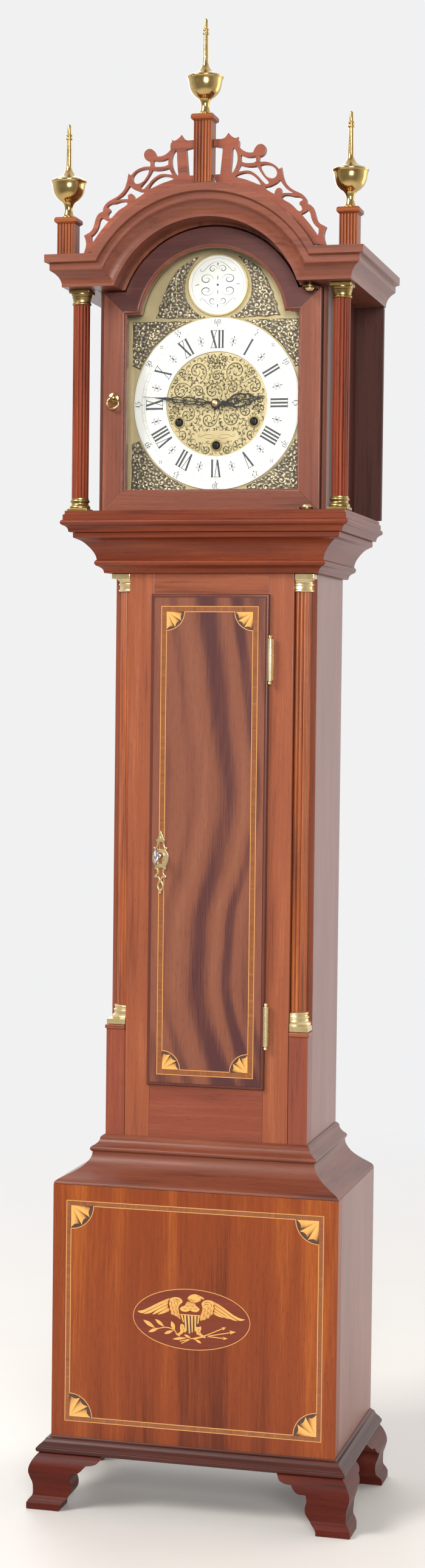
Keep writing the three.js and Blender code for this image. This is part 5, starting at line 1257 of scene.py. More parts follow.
# pierced fretwork
FRET_EDGE = [
    (-104.9, 1069.6), (-103.6, 1073.0), (-102.6, 1077.1), (-102.9, 1081.1), (-104.5, 1085.3), (-101.9, 1086.7),
    (-99.2, 1088.2), (-97.1, 1090.4), (-95.5, 1094.7), (-94.2, 1099.2), (-92.4, 1102.4), (-90.3, 1104.1),
    (-88.1, 1104.8), (-87.6, 1108.1), (-86.0, 1110.6), (-83.4, 1113.0), (-79.7, 1114.9), (-76.0, 1116.8),
    (-72.8, 1119.2), (-69.6, 1122.7), (-68.1, 1126.2), (-67.0, 1129.7), (-66.5, 1132.7), (-65.9, 1135.7),
    (-64.7, 1134.6), (-63.4, 1134.6), (-61.3, 1136.8), (-58.1, 1138.9), (-54.4, 1140.3), (-50.7, 1140.9),
    (-47.3, 1140.8), (-46.8, 1142.5), (-47.3, 1144.8), (-49.7, 1145.7), (-51.6, 1147.5), (-52.5, 1150.1),
    (-52.2, 1152.6), (-50.9, 1154.3), (-49.0, 1155.3), (-46.9, 1155.4), (-44.8, 1154.5), (-43.2, 1152.7),
    (-42.2, 1150.7), (-41.5, 1149.0), (-39.2, 1148.8), (-36.5, 1149.2), (-33.9, 1150.3), (-31.5, 1152.0),
    (-29.5, 1153.9), (-29.7, 1157.0), (-29.3, 1159.2), (-28.2, 1160.7), (-28.9, 1162.0), (-26.1, 1161.3),
    (-24.0, 1162.3), (-21.9, 1163.9), (-20.1, 1165.9), (-18.5, 1163.5), (-16.9, 1161.9), (-14.6, 1161.0),
    (-8.0, 1161.1), (-8.0, 1154.9), (-15.6, 1153.4), (-14.7, 1143.2), (-13.6, 1132.0), (-8.0, 1131.8),
]
FRET_HOLES = [
    [(-24.7, 1153.5), (-26.8, 1150.8), (-28.0, 1147.3), (-28.2, 1143.3), (-27.4, 1139.2), (-25.8, 1135.6),
     (-23.7, 1132.8), (-22.6, 1132.7), (-23.2, 1139.1), (-23.7, 1145.6), (-24.0, 1151.7)],
    [(-43.9, 1145.2), (-40.2, 1144.8), (-36.0, 1145.1), (-32.8, 1146.1), (-31.2, 1146.9), (-31.4, 1141.7),
     (-34.8, 1140.5), (-39.1, 1140.2), (-42.8, 1140.6), (-44.2, 1141.9)],
    [(-45.1, 1137.3), (-41.1, 1136.9), (-36.9, 1137.1), (-33.2, 1137.8), (-30.9, 1138.5), (-27.9, 1133.2),
     (-31.1, 1133.7), (-34.8, 1134.2), (-38.5, 1133.9), (-42.1, 1132.2), (-45.3, 1129.8), (-47.9, 1126.9),
     (-50.5, 1124.2), (-52.6, 1122.3), (-54.8, 1122.6), (-55.2, 1124.0), (-53.2, 1126.1), (-50.3, 1129.3), (-47.7, 1133.0)],
    [(-61.8, 1132.5), (-60.5, 1134.7), (-58.1, 1136.7), (-54.4, 1138.0), (-50.7, 1138.4), (-48.0, 1137.8),
     (-48.5, 1135.5), (-50.4, 1132.1), (-52.7, 1129.1), (-55.9, 1127.2), (-59.0, 1126.9), (-61.2, 1128.4), (-62.0, 1130.5)],
    [(-48.4, 1121.8), (-47.1, 1124.3), (-44.7, 1127.3), (-41.6, 1129.8), (-38.4, 1131.4), (-34.8, 1132.1),
     (-31.1, 1131.5), (-27.9, 1130.4), (-26.5, 1129.4), (-30.5, 1128.2), (-35.7, 1126.7), (-41.5, 1124.4), (-45.2, 1122.8)],
    [(-64.6, 1125.1), (-62.2, 1123.0), (-59.0, 1121.3), (-55.8, 1120.1), (-52.6, 1119.6), (-52.1, 1118.8),
     (-54.7, 1117.0), (-57.9, 1115.1), (-60.1, 1114.0), (-60.4, 1115.7), (-61.3, 1117.5), (-62.9, 1118.7),
     (-64.8, 1118.7), (-66.0, 1117.7), (-66.2, 1114.5), (-69.0, 1114.5), (-72.7, 1114.4), (-76.2, 1114.1),
     (-73.8, 1115.6), (-70.6, 1117.6), (-68.0, 1120.6), (-65.9, 1123.5)],
    [(-71.7, 1112.2), (-68.5, 1112.1), (-66.2, 1110.6), (-68.9, 1108.4), (-72.7, 1106.3), (-75.8, 1103.9),
     (-78.2, 1101.4), (-80.0, 1099.7), (-81.6, 1098.9), (-83.0, 1099.6), (-83.6, 1101.1), (-83.0, 1102.9),
     (-81.3, 1104.6), (-81.7, 1106.6), (-84.3, 1108.2), (-82.9, 1109.7), (-80.7, 1110.6), (-77.0, 1111.0), (-74.3, 1111.7)],
    [(-88.3, 1099.4), (-86.4, 1097.9), (-83.2, 1096.4), (-86.4, 1092.8), (-90.1, 1088.4), (-93.8, 1083.4),
     (-97.2, 1078.7), (-97.8, 1081.0), (-98.0, 1084.3), (-95.4, 1086.5), (-93.3, 1089.2), (-91.7, 1093.0),
     (-90.9, 1096.3), (-89.8, 1098.5)],
]
FR = LIP + 25.8 + 0.1
f_end, f_start = math.acos(8 / FR), math.asin((1069.6 - ARCH_Z) / FR)
edge = spline(FRET_EDGE, [0, 4, 12, 23, 30, 31, 32, 43, 48, 52, 56, 59, 60, 61, 62, 64, 65], 4)
fret_loops = [edge + arc(FR, 0, ARCH_Z, PI - f_end, PI - f_start, 40)[1:-1]] + [smooth_loop(h, 50, 4) for h in FRET_HOLES]
fret = holed(fret_loops, -4.5, 0.5, 0.4)
one("fret_left", fret, W["fret"], "hood", "fretwork_left", tag="x", angle=40)
one("fret_right", flip(fret), W["fret"], "hood", "fretwork_right", tag="x", angle=40)

# plinths with reeded fronts and moulded caps, and turned urn finials
URN = [
    (0, 0), (6.6, 0), (6.8, 0.5), (6.3, 1.1), (5.0, 1.5), (4.4, 2.5), (3.9, 4.2), (3.4, 6.6), (3.5, 9.2), (4.2, 11.4), (5.6, 13.4),
    (8.6, 15.6), (11.6, 19.0), (13.4, 23.6), (14.0, 27.6), (14.5, 29.6), (15.3, 30.7), (15.3, 31.5), (14.5, 32.1), (14.0, 32.3),
    (12.4, 33.2), (9.6, 34.2), (7.2, 35.4), (5.0, 37.2), (3.5, 39.4), (2.7, 41.4), (2.35, 48.0), (2.15, 58.0), (1.95, 66.0),
    (2.75, 66.5), (2.9, 67.2), (2.75, 67.9), (2.1, 68.3), (2.15, 69.2), (2.65, 69.7), (2.75, 70.4), (2.3, 71.1), (1.75, 71.5),
    (1.7, 75.0), (1.5, 77.6), (1.0, 79.2), (0, 79.9),
]
urn = spline(URN, [1, 3, 5, 15, 17, 19, 28, 32, 37], 4)
for name, x, y, z0, z1, z2, tall in (
    ("left", -121.9, 7.6, 1069.2, 1096.5, 1102.2, 79.5),
    ("center", 0.0, -4.0, 1124.7, 1175.2, 1181.0, 79.9),
    ("right", 121.9, 7.6, 1069.2, 1096.5, 1102.2, 79.5),
):
    plan = [(x - 7.6, y + 7.6), (x - 7.6, y - 7.4), (x - 6.6, y - 7.4)]
    for k in range(5):
        c = x - 5.28 + 2.64 * k
        for i in range(7):
            u = -0.94 + 1.88 * i / 6
            plan.append((c + 1.32 * u, y - 6.5 - 1.05 * math.sqrt(1 - u * u)))
        if k < 4:
            plan.append((c + 1.32, y - 6.3))
    plan += [(x + 6.6, y - 7.4), (x + 7.6, y - 7.4), (x + 7.6, y + 7.6)]
    acc = Acc()
    acc.add(*prism(plan, z0, z1 + 0.6, "z"), "z")
    rings = []
    for o, z in spline([(7.4, z1 + 0.2), (8.0, z1 + 0.4), (8.5, z1 + 1.0), (9.3, z1 + 1.4), (9.7, z1 + 2.4), (9.7, z1 + 3.8), (9.3, z1 + 5.0), (8.6, z2 - 0.05), (7.0, z2)], [2, 7], 3):
        rings.append([(x - o, y - o, z), (x + o, y - o, z), (x + o, y + o, z), (x - o, y + o, z)])
    acc.add(*bevelled(*loft(rings), 0), "x")
    piece("plinth_%s_reeded" % name, acc, W["plinth"], "hood", "plinth_" + name, 44)
    one("finial_%s_urn" % name, lathe([(r, z2 + 0.05 + h * tall / 79.9) for r, h in urn], (x, y), 56), BRASS, "hood", "finial_" + name)

# ------------------------------------------------------------------ hood door
outer = break_arch(94.7, 855.2, 1041.2, 80.0, 1014.5, 64)
innr = break_arch(78.0, 871.0, 1025.3, 66.4, 1014.0, 64)
acc = Acc()
Y0, Y1 = 24.5, 34.5
acc.add(*prism([outer[0], outer[1], innr[1], innr[0]], Y0, Y1, "y", 0.35), "x")
acc.add(*prism([outer[1], outer[2], innr[2], innr[1]], Y0, Y1, "y", 0.35), "z")
acc.add(*prism([outer[0], innr[0], innr[-1], outer[-1]], Y0, Y1, "y", 0.35), "z")
# the arch rail takes the second, darker finish, which carries painted shade from the cornice
acc.add(*prism(outer[2:] + innr[2:][::-1], Y0, Y1, "y", 0.35, 2, 40), "x", 1)
# moulded sight edge round the glass
bead = spline([(3.0, 25.0), (2.6, 24.75), (1.8, 25.0), (1.2, 25.9), (0.9, 27.0), (0.3, 27.3), (0.0, 27.8), (0.0, 29.1), (3.0, 29.1)], [0, 4, 6, 7, 8], 3)[:-1]
rings = [[(px, y, pz) for px, pz in break_arch(75.2 + d, 873.8 - d, 1022.5 + d, 63.6 + d, 1014.0, 64)] for d, y in bead]
acc.add(*loft(rings, close=True), "x")
piece("hood_door_joinery", acc, [W["hood"], W["arch_rail_darker_plus_painted_shade"]], "hood_door", "hood_door_frame", 32)
dress("hood_door_glass", GLASS, 0)
# the pivot straps and pins take brass darkened with painted shade
for name, z0, z1, p0, p1 in (("upper", 1038.6, 1040.9, 1040.0, 1048.0), ("lower", 854.9, 859.4, 849.5, 856.0)):
    strap = [(87 - 6.3, 24.8), (87 + 6.3, 24.8)] + arc(6.3, 87, 14, 0, -PI, 24)
    acc = Acc()
    s = 1 if name == "lower" else -1
    zc = z0 + 2.1 if name == "lower" else z1 - 2.1
    acc.add(*prism(strap, min(zc, zc - s * 2.1), max(zc, zc - s * 2.1), "z", 0.4))
    acc.add(*lathe([(0, p0), (1.4, p0), (1.6, p0 + 0.3), (1.6, p1 - 0.3), (1.4, p1), (0, p1)], (87, 14), 20))
    dome = [(0, -0.2), (3.7, -0.2), (3.8, 0.3), (3.6, 0.9), (3.1, 1.6), (2.2, 2.2), (1.1, 2.55), (0, 2.65)]
    acc.add(*lathe([(r, zc + s * h) for r, h in dome], (87, 14), 28), "z", 1)
    piece("hood_pivot_" + name, acc, [SHADE_DARKENED_BRASS, HINGE_BRASS], "hood_door", "hood_hinge_" + name)
RX, RY, RZ = -85.2, 20.8, 951.6
rose = [(0, 24.3), (4.6, 24.3), (4.7, 23.8), (4.3, 23.2), (3.6, 23.0), (3.3, 22.4), (2.5, 22.2), (2.2, 21.4), (2.1, 19.4), (1.7, 18.6), (0.9, 18.3), (0, 18.25)]
post = carved(lathe(rose, (RX, RZ), 32, "y"), [prism([(20.8 + 1.5 * math.cos(t), RZ - 0.4 + 1.5 * math.sin(t)) for t in np.linspace(0, 2 * PI, 17)[:-1]], RX - 9, RX + 9, "x")])
one("ring_pull_rose", post, BRASS, "hood_door", "hood_pull_post")
ring = [(RX + 4.7 * math.sin(t) * (1.0 + 0.16 * (1 - math.cos(t)) / 2), RY, RZ - 4.6 + 4.6 * math.cos(t)) for t in np.linspace(0, 2 * PI, 49)[:-1]]
rad = [0.8 + 0.25 * (1 - math.cos(t)) / 2 for t in np.linspace(0, 2 * PI, 49)[:-1]]
one("ring_pull_ring", tube(ring, rad, 12, close=True), BRASS, "hood_pull_ring", "hood_pull_ring")

# ------------------------------------------------------------------ dial
DY, DZ = 47.3, 947.9
# darker gilt on the plate: painted shade from the door frame
dress("dial_plate", SHADE_DARKENED_DIAL_GILT, 0.2)
ring_prof = [(44.6, 47.0), (44.6, 46.1), (44.9, 45.8), (73.0, 45.8), (73.3, 46.1), (73.3, 47.0)]
one("chapter_ring_white", lathe(ring_prof, (0, DZ), 144, "y", closed=True), WHITE, "case", "chapter_ring", angle=30)
FACE = 45.8


def polar(r, deg, u=0.0):
    """A point at a radius and clock angle (degrees from twelve), shifted u along the tangent."""
    a = math.radians(deg)
    return (r * math.sin(a) + u * math.cos(a), DZ + r * math.cos(a) - u * math.sin(a))


ink, faint, figures = Acc(), Acc(), Acc()


def stroke(acc, deg, pts, widths, lift=0.05):
    """A stroke in a numeral's own frame: u along the tangent, r outwards."""
    acc.add(*ribbon([polar(r, deg, u) for u, r in pts], widths, FACE - lift, FACE + 0.1), "x")


R_IN, R_OUT = 47.6, 62.4
NUMERALS = ["XII", "I", "II", "III", "IIII", "V", "VI", "VII", "VIII", "IX", "X", "XI"]
WIDE = {"I": 3.0, "V": 6.4, "X": 6.8}
for k, text in enumerate(NUMERALS):
    deg = 30 * k
    total = sum(WIDE[c] for c in text)
    u = -total / 2
    for c in text:
        w = WIDE[c]
        m = u + w / 2
        if c == "I":
            stroke(ink, deg, [(m, R_IN), (m, R_OUT)], 1.7)
        elif c == "V":
            stroke(ink, deg, [(m - 2.1, R_OUT), (m + 0.2, R_IN)], 1.7, 0.052)
            stroke(ink, deg, [(m + 2.2, R_OUT), (m + 0.3, R_IN)], 0.6, 0.054)
        else:
            stroke(ink, deg, [(m - 2.2, R_OUT), (m + 2.2, R_IN)], 1.7, 0.052)
            stroke(ink, deg, [(m + 2.2, R_OUT), (m - 2.2, R_IN)], 0.6, 0.054)
        for r in ((R_IN, R_OUT) if c != "V" else (R_OUT,)):
            stroke(ink, deg, [(m - w / 2 + 0.15, r), (m + w / 2 - 0.15, r)], 0.5, 0.056)
        u += w
# minute track, with points at each five minutes
for r, w in ((63.8, 0.16), (66.2, 0.16), (45.5, 0.2), (46.3, 0.14), (72.2, 0.1)):
    faint.add(*ribbon([polar(r, d) for d in np.linspace(0, 360, 181)], w, FACE - 0.04, FACE + 0.1), "x")
for k in range(60):
    stroke(faint, 6 * k, [(0, 63.8), (0, 66.2)], 0.18, 0.042)
    if k % 5 == 0:
        v = [polar(66.0, 6 * k), polar(67.4, 6 * k, 0.75), polar(67.4, 6 * k, -0.75)]
        ink.add(*prism(v, FACE - 0.05, FACE + 0.1), "x")
DIGITS = {
    "0": [([(0.5 + 0.42 * math.cos(t), 0.5 + 0.5 * math.sin(t)) for t in np.linspace(0, 2 * PI, 25)], lambda i: 0.10 + 0.2 * abs(math.cos(2 * PI * i / 24)))],
    "1": [([(0.5, 0), (0.5, 1)], lambda i: 0.3), ([(0.22, 0.8), (0.5, 1)], lambda i: 0.12), ([(0.2, 0.02), (0.8, 0.02)], lambda i: 0.08)],
    "2": [([(0.1, 0.72), (0.14, 0.88), (0.32, 0.99), (0.58, 0.99), (0.8, 0.86), (0.82, 0.68), (0.66, 0.46), (0.36, 0.24), (0.08, 0.04)], lambda i: 0.12 + 0.15 * (4 < i < 7)), ([(0.06, 0.06), (0.9, 0.06)], lambda i: 0.2)],
    "3": [([(0.12, 0.86), (0.34, 0.99), (0.6, 0.99), (0.78, 0.86), (0.76, 0.68), (0.58, 0.56), (0.38, 0.54)], lambda i: 0.12 + 0.12 * (2 < i < 5)), ([(0.4, 0.54), (0.66, 0.5), (0.84, 0.36), (0.84, 0.18), (0.66, 0.03), (0.36, 0.0), (0.08, 0.12)], lambda i: 0.12 + 0.18 * (1 < i < 5))],
    "4": [([(0.66, 0), (0.66, 1)], lambda i: 0.28), ([(0.62, 0.98), (0.06, 0.3)], lambda i: 0.1), ([(0.04, 0.3), (0.94, 0.3)], lambda i: 0.12)],
    "5": [([(0.26, 0.96), (0.8, 0.96)], lambda i: 0.2), ([(0.26, 0.96), (0.2, 0.56)], lambda i: 0.1), ([(0.2, 0.56), (0.42, 0.64), (0.66, 0.6), (0.84, 0.44), (0.84, 0.22), (0.66, 0.04), (0.36, 0.0), (0.1, 0.1)], lambda i: 0.12 + 0.18 * (2 < i < 5))],
    "6": [([(0.8, 0.94), (0.54, 0.96), (0.28, 0.76), (0.14, 0.48), (0.16, 0.22), (0.34, 0.02), (0.62, 0.02), (0.82, 0.18), (0.82, 0.42), (0.64, 0.56), (0.38, 0.54), (0.18, 0.38)], lambda i: 0.11 + 0.16 * (1 < i < 5 or 6 < i < 9))],
}
for k in range(12):
    text = str(k * 5 or 60)
    h, w = 4.1, 2.9
    u = -w * len(text) / 2
    for c in text:
        for pts, width in DIGITS[c]:
            run = spline(pts, (), 3) if len(pts) > 2 else pts
            n = len(run)
            ws = [h * 0.6 * width((i / (n - 1)) * (len(pts) - 1)) for i in range(n)]
            stroke(figures, 30 * k, [(u + 0.2 + (w - 0.4) * a, 67.9 + h * b) for a, b in run], ws, 0.05)
        u += w
# half-hour markers and the four sprigs outside the track
for k in range(12):
    deg = 30 * k + 15
    stroke(ink, deg, [(0, 50.1), (0, 59.9)], 0.2, 0.046)
    stroke(ink, deg, [(0, 56.7), (0, 58.5), (0, 59.9)], [0.12, 1.0, 0.1], 0.05)
    stroke(ink, deg, [(0, 53.3), (0, 51.5), (0, 50.1)], [0.12, 1.0, 0.1], 0.05)
    stroke(ink, deg, [(0, 53.9), (0, 55.0), (0, 56.1)], [0.2, 1.7, 0.2], 0.052)
    for s in (-1, 1):
        for d in (-1, 1):
            curl = spline([(s * a, 55.0 + d * b) for a, b in ((0.2, 0.5), (1.0, 1.7), (1.9, 2.2), (2.6, 1.6), (2.3, 0.8), (1.7, 1.1))], (), 3)
            stroke(ink, deg, curl, list(np.interp(np.linspace(0, 1, len(curl)), [0, 0.5, 0.85, 1], [0.5, 0.3, 0.3, 0.62])), 0.048)
for deg in (45, 135, 225, 315):
    for a in range(4):
        t = a * PI / 2
        stroke(ink, deg, [(r * math.cos(t), 69.4 + r * math.sin(t)) for r in (0.35, 1.1, 1.9)], [0.2, 0.85, 0.15], 0.05)
piece("dial_numerals", ink, INK, "case")
piece("dial_minute_figures", figures, GREY_INK, "case")
piece("dial_fine_lines", faint, FAINT, "case")

# engraved dial centre: a gilt disc filled with leafy scrolls, bored for the hands and the winding squares
WINDERS = ((-33.0, 932.5), (0.0, 912.5), (33.0, 932.5))
circle = lambda x, z, r, n: [(x + r * math.cos(t), z + r * math.sin(t)) for t in np.linspace(0, 2 * PI, n + 1)[:-1]]
one("dial_center", holed([circle(0, DZ, 44.3, 120), circle(0, DZ, 3.6, 36)] + [circle(x, z, 3.7, 36) for x, z in WINDERS], 46.9, 47.28, 0.05), GILT, "case", angle=30)
rng = random.Random(11)
cuts = Acc()


def clear_of(p, more=0.0):
    """Inside the engraved field: off the rim, the bores and the plain tablet under the centre."""
    if math.hypot(p[0], p[1] - DZ) > 43.5 - more:
        return False
    if any(math.hypot(p[0] - x, p[1] - z) < 5.4 + more for x, z in WINDERS):
        return False
    return (p[0] / (19.5 + more)) ** 4 + ((p[1] - DZ + 27.3) / (4.3 + more)) ** 4 > 1


def cut(run, ws):
    """An engraved line, broken where the field ends."""
    k = 0
    while k < len(run):
        e = k
        while e < len(run) and clear_of(run[e]):
            e += 1
        if e - k > 2:
            cuts.add(*ribbon(run[k:e], [1.35 * w for w in ws[k:e]], 46.85 - 0.01 * (k % 3), 46.96), "x")
        k = max(e, k) + 1


SCROLLS = [
    (-17.5, 28.0, 9.6, -1.2, 1), (17.0, 27.6, 10.0, -2.0, -1), (-31.5, 11.0, 8.6, 0.4, 1), (32.5, 14.5, 8.2, 2.7, -1), (-3.5, 10.6, 8.6, -0.4, 1),
    (13.0, 13.6, 6.6, 2.4, -1), (-16.5, 10.6, 6.2, 2.9, -1), (-26.0, -8.6, 7.6, 1.2, -1), (26.0, -6.0, 6.6, 1.4, 1), (13.6, -12.0, 8.0, 2.6, 1),
    (-7.0, -13.0, 8.2, 0.6, -1), (-31.0, -25.5, 7.4, 1.9, 1), (31.0, -26.0, 7.4, 1.2, -1), (-20.5, -37.0, 6.6, 0.8, -1), (20.5, -37.0, 6.6, 2.3, 1),
    (-9.0, -38.5, 5.0, 2.4, 1), (9.0, -38.5, 5.0, 0.7, -1), (0.0, 23.8, 5.0, 1.0, 1), (-38.0, 20.5, 4.4, 2.0, -1), (38.5, 3.0, 4.4, 0.4, 1),
    (-5.0, 37.5, 4.0, 2.6, 1), (6.0, 39.0, 3.6, 0.4, -1), (-30.0, 27.5, 4.6, -0.6, -1), (30.0, 28.0, 4.6, 3.6, 1), (-40.0, -12.0, 3.6, 0.2, 1), (18.5, 2.6, 5.2, -0.4, 1),
]
stems, lobes = [], []
for cx, cz, s, a0, hand in SCROLLS:
    run = []
    for t in np.linspace(0, 1, 46):
        r = s * (1.0 - 0.84 * t ** 0.9)
        a = a0 + hand * 2 * PI * 1.3 * t
        run.append((cx + r * math.cos(a), DZ + cz + r * math.sin(a)))
    stems.append(run)
    cut(run, [0.2 + 0.42 * math.sin(PI * min(1.0, 0.06 + 0.98 * t)) ** 0.8 for t in np.linspace(0, 1, 46)])
    inner = [(cx + (x - cx) * (1 - 0.85 / max(s * 0.9, math.hypot(x - cx, z - DZ - cz))), DZ + cz + (z - DZ - cz) * (1 - 0.85 / max(s * 0.9, math.hypot(x - cx, z - DZ - cz)))) for x, z in run[2:26]]
    cut(inner, [0.16] * len(inner))


def lobe(x, z, r, face, turn):
    """One rounded leaf lobe: its outline, a dark notch at its side and hatching that follows the curl."""
    arc_run = [(x + r * math.cos(face + turn * a), z + r * math.sin(face + turn * a)) for a in np.linspace(-1.75, 1.75, 17)]
    cut(arc_run, list(np.interp(np.linspace(0, 1, 17), [0, 0.25, 0.8, 1], [0.6, 0.36, 0.3, 0.2])))
    for q, w in ((0.66, 0.2), (0.34, 0.16)):
        hatch = [(x + r * (q + 0.2 * k) * math.cos(face + turn * (-1.9 + 1.9 * k)), z + r * (q + 0.2 * k) * math.sin(face + turn * (-1.9 + 1.9 * k))) for k in np.linspace(0, 1, 8)]
        cut(hatch, list(w * np.linspace(1.3, 0.5, 8)))
    pit = [(x + r * k * math.cos(face - turn * (1.9 + 0.4 * (1.2 - k))), z + r * k * math.sin(face - turn * (1.9 + 0.4 * (1.2 - k)))) for k in np.linspace(1.3, 0.3, 7)]
    cut(pit, [0.15, 0.7, 0.8, 0.62, 0.42, 0.26, 0.1])


every = np.array([p for run in stems for p in run])
for (cx, cz, s, a0, hand), run in zip(SCROLLS, stems):
    others = np.array([p for r2 in stems if r2 is not run for p in r2])
    for i in range(2, 44, 4):
        x, z = run[i]
        ux, uz = x - cx, z - DZ - cz
        d = math.hypot(ux, uz)
        for side in (1, -1):
            r = min(2.3, 0.27 * s + 0.45) * (1.0 if side > 0 else 0.74)
            if side < 0 and d < 0.48 * s:
                continue
            px, pz = x + ux / d * side * r * 1.12, z + uz / d * side * r * 1.12
            if not clear_of((px, pz), 0.4):
                continue
            if np.hypot(others[:, 0] - px, others[:, 1] - pz).min() < 0.95 * r or any(math.hypot(px - q[0], pz - q[1]) < 0.86 * (r + q[2]) for q in lobes):
                continue
            lobes.append((px, pz, r))
            lobe(px, pz, r, math.atan2(uz * side, ux * side) + 0.5 * hand * side, hand * side)
for _ in range(6000):
    r, a = 42.0 * math.sqrt(rng.random()), rng.random() * 2 * PI
    x, z = r * math.cos(a), DZ + r * math.sin(a)
    size = rng.choice((1.9, 1.6, 1.3))
    if clear_of((x, z), 0.3) and np.hypot(every[:, 0] - x, every[:, 1] - z).min() > 1.0 * size and all(math.hypot(x - q[0], z - q[1]) > 0.9 * (size + q[2]) for q in lobes):
        lobes.append((x, z, size))
        lobe(x, z, size, rng.uniform(0, 2 * PI), rng.choice((-1, 1)))
# star florets between the scrolls
for x, z, size in ((0.0, 33.6, 3.9), (36.6, -3.4, 3.7), (-36.6, -4.4, 3.7)):
    for j in range(6):
        t = math.radians(60 * j + 30)
        tip, l, r = [(x + q * math.cos(t + w), DZ + z + q * math.sin(t + w)) for q, w in ((size, 0), (size * 0.5, 0.48), (size * 0.5, -0.48))]
        cut([l, (0.35 * l[0] + 0.65 * tip[0], 0.35 * l[1] + 0.65 * tip[1]), tip], [0.42, 0.36, 0.16])
        cut([r, (0.35 * r[0] + 0.65 * tip[0], 0.35 * r[1] + 0.65 * tip[1]), tip], [0.42, 0.36, 0.16])
        cut([(x + q * math.cos(t), DZ + z + q * math.sin(t)) for q in (size * 0.32, size * 0.5, size * 0.72)], [0.34, 0.26, 0.1])
    cut([(x + 0.24 * size * math.cos(t), DZ + z + 0.24 * size * math.sin(t)) for t in np.linspace(0, 2 * PI, 19)], [0.26] * 19)
# a thin double rule and two small curls on the plain tablet
for s in (-1, 1):
    flick = spline([(s * a, DZ - 27.3 + b) for a, b in ((2.0, 0.0), (6.0, 1.5), (11.0, 0.8), (14.4, -0.7), (16.2, 0.4), (15.0, 1.6), (13.8, 0.8))], (), 4)
    cuts.add(*ribbon(flick, list(np.interp(np.linspace(0, 1, len(flick)), [0, 0.4, 1], [0.14, 0.36, 0.2])), 46.85, 46.96), "x")
    flick = spline([(s * a, DZ - 28.6 + b) for a, b in ((1.0, 0.0), (4.5, -0.9), (8.5, -0.5), (11.0, 0.2))], (), 4)
    cuts.add(*ribbon(flick, list(np.interp(np.linspace(0, 1, len(flick)), [0, 0.5, 1], [0.12, 0.3, 0.12])), 46.85, 46.96), "x")
piece("dial_center_engraving", cuts, ENGRAVE, "case")
# bushes round the winding squares
acc = Acc()
for x, z in WINDERS:
    acc.add(*lathe([(3.5, 47.2), (3.5, 46.3), (3.9, 45.9), (4.6, 45.95), (5.1, 46.4), (5.2, 46.95), (4.2, 47.2)], (x, z), 40, "y", closed=True))
piece("winding_bushes", acc, PALE_BRASS, "case")

# medallion in the arch: a plain white disc with a fine ring and a symmetrical flourish
one("arch_medallion", lathe([(0, 47.0), (24.95, 47.0), (24.95, 45.8), (24.6, 45.5), (0, 45.5)], (0, 1049.0), 96, "y"), WHITE, "case", "arch_disc", angle=30)
one("arch_medallion_rim", lathe([(24.9, 47.0), (26.5, 47.0), (26.5, 45.95), (26.2, 45.6), (25.5, 45.5), (24.9, 45.75)], (0, 1049.0), 96, "y", closed=True), GILT, "case", "arch_disc", angle=30)
flour = Acc()
mz = 1049.0
fl = lambda pts, w: flour.add(*ribbon([(a, mz + b) for a, b in pts], w, 45.46, 45.6), "x")
fl([(22.7 * math.cos(t), 22.7 * math.sin(t)) for t in np.linspace(0, 2 * PI, 121)], 0.16)
for sx in (-1, 1):
    for sz in (-1, 1):
        sp = [(sx * (9.8 + (6.2 - 5.3 * t) * math.cos(PI - 2 * PI * 1.35 * t)), sz * (4.8 + (4.6 - 3.8 * t) * math.sin(PI - 2 * PI * 1.35 * t))) for t in np.linspace(0, 1, 48)]
        fl(sp, [0.2 + 0.55 * math.sin(PI * t) ** 2 for t in np.linspace(0, 1, 48)])
        sp = [(sx * (4.4 + (3.8 - 3.2 * t) * math.cos(PI - 2 * PI * 1.25 * t)), sz * (13.4 + (3.4 - 2.8 * t) * math.sin(PI - 2 * PI * 1.25 * t))) for t in np.linspace(0, 1, 40)]
        fl(sp, [0.18 + 0.45 * math.sin(PI * t) ** 2 for t in np.linspace(0, 1, 40)])
        sp = spline([(sx * a, sz * b) for a, b in ((1.2, 19.6), (4.6, 18.6), (8.6, 15.8), (12.0, 12.4), (14.4, 11.4), (15.6, 12.6), (14.6, 13.6))], (), 4)
        fl(sp, list(np.interp(np.linspace(0, 1, len(sp)), [0, 0.4, 0.8, 1], [0.12, 0.4, 0.22, 0.4])))
    fl([(sx * 16.0, 0), (sx * 17.2, 0.8), (sx * 18.8, 0), (sx * 20.4, -0.4)], [0.16, 0.6, 0.5, 0.1])
for s in (-1, 1):
    fl([(0, s * 19.6), (0, s * 17.6), (0, s * 15.8)], [0.1, 1.0, 0.1])
    fl([(0, s * 8.4), (0, s * 6.2), (0, s * 3.4)], [0.1, 0.8, 0.1])
flour.add(*lathe([(0, 45.6), (0.95, 45.6), (0.95, 45.44), (0, 45.4)], (0, mz), 20, "y"), "x")
piece("medallion_flourish", flour, INK, "case")


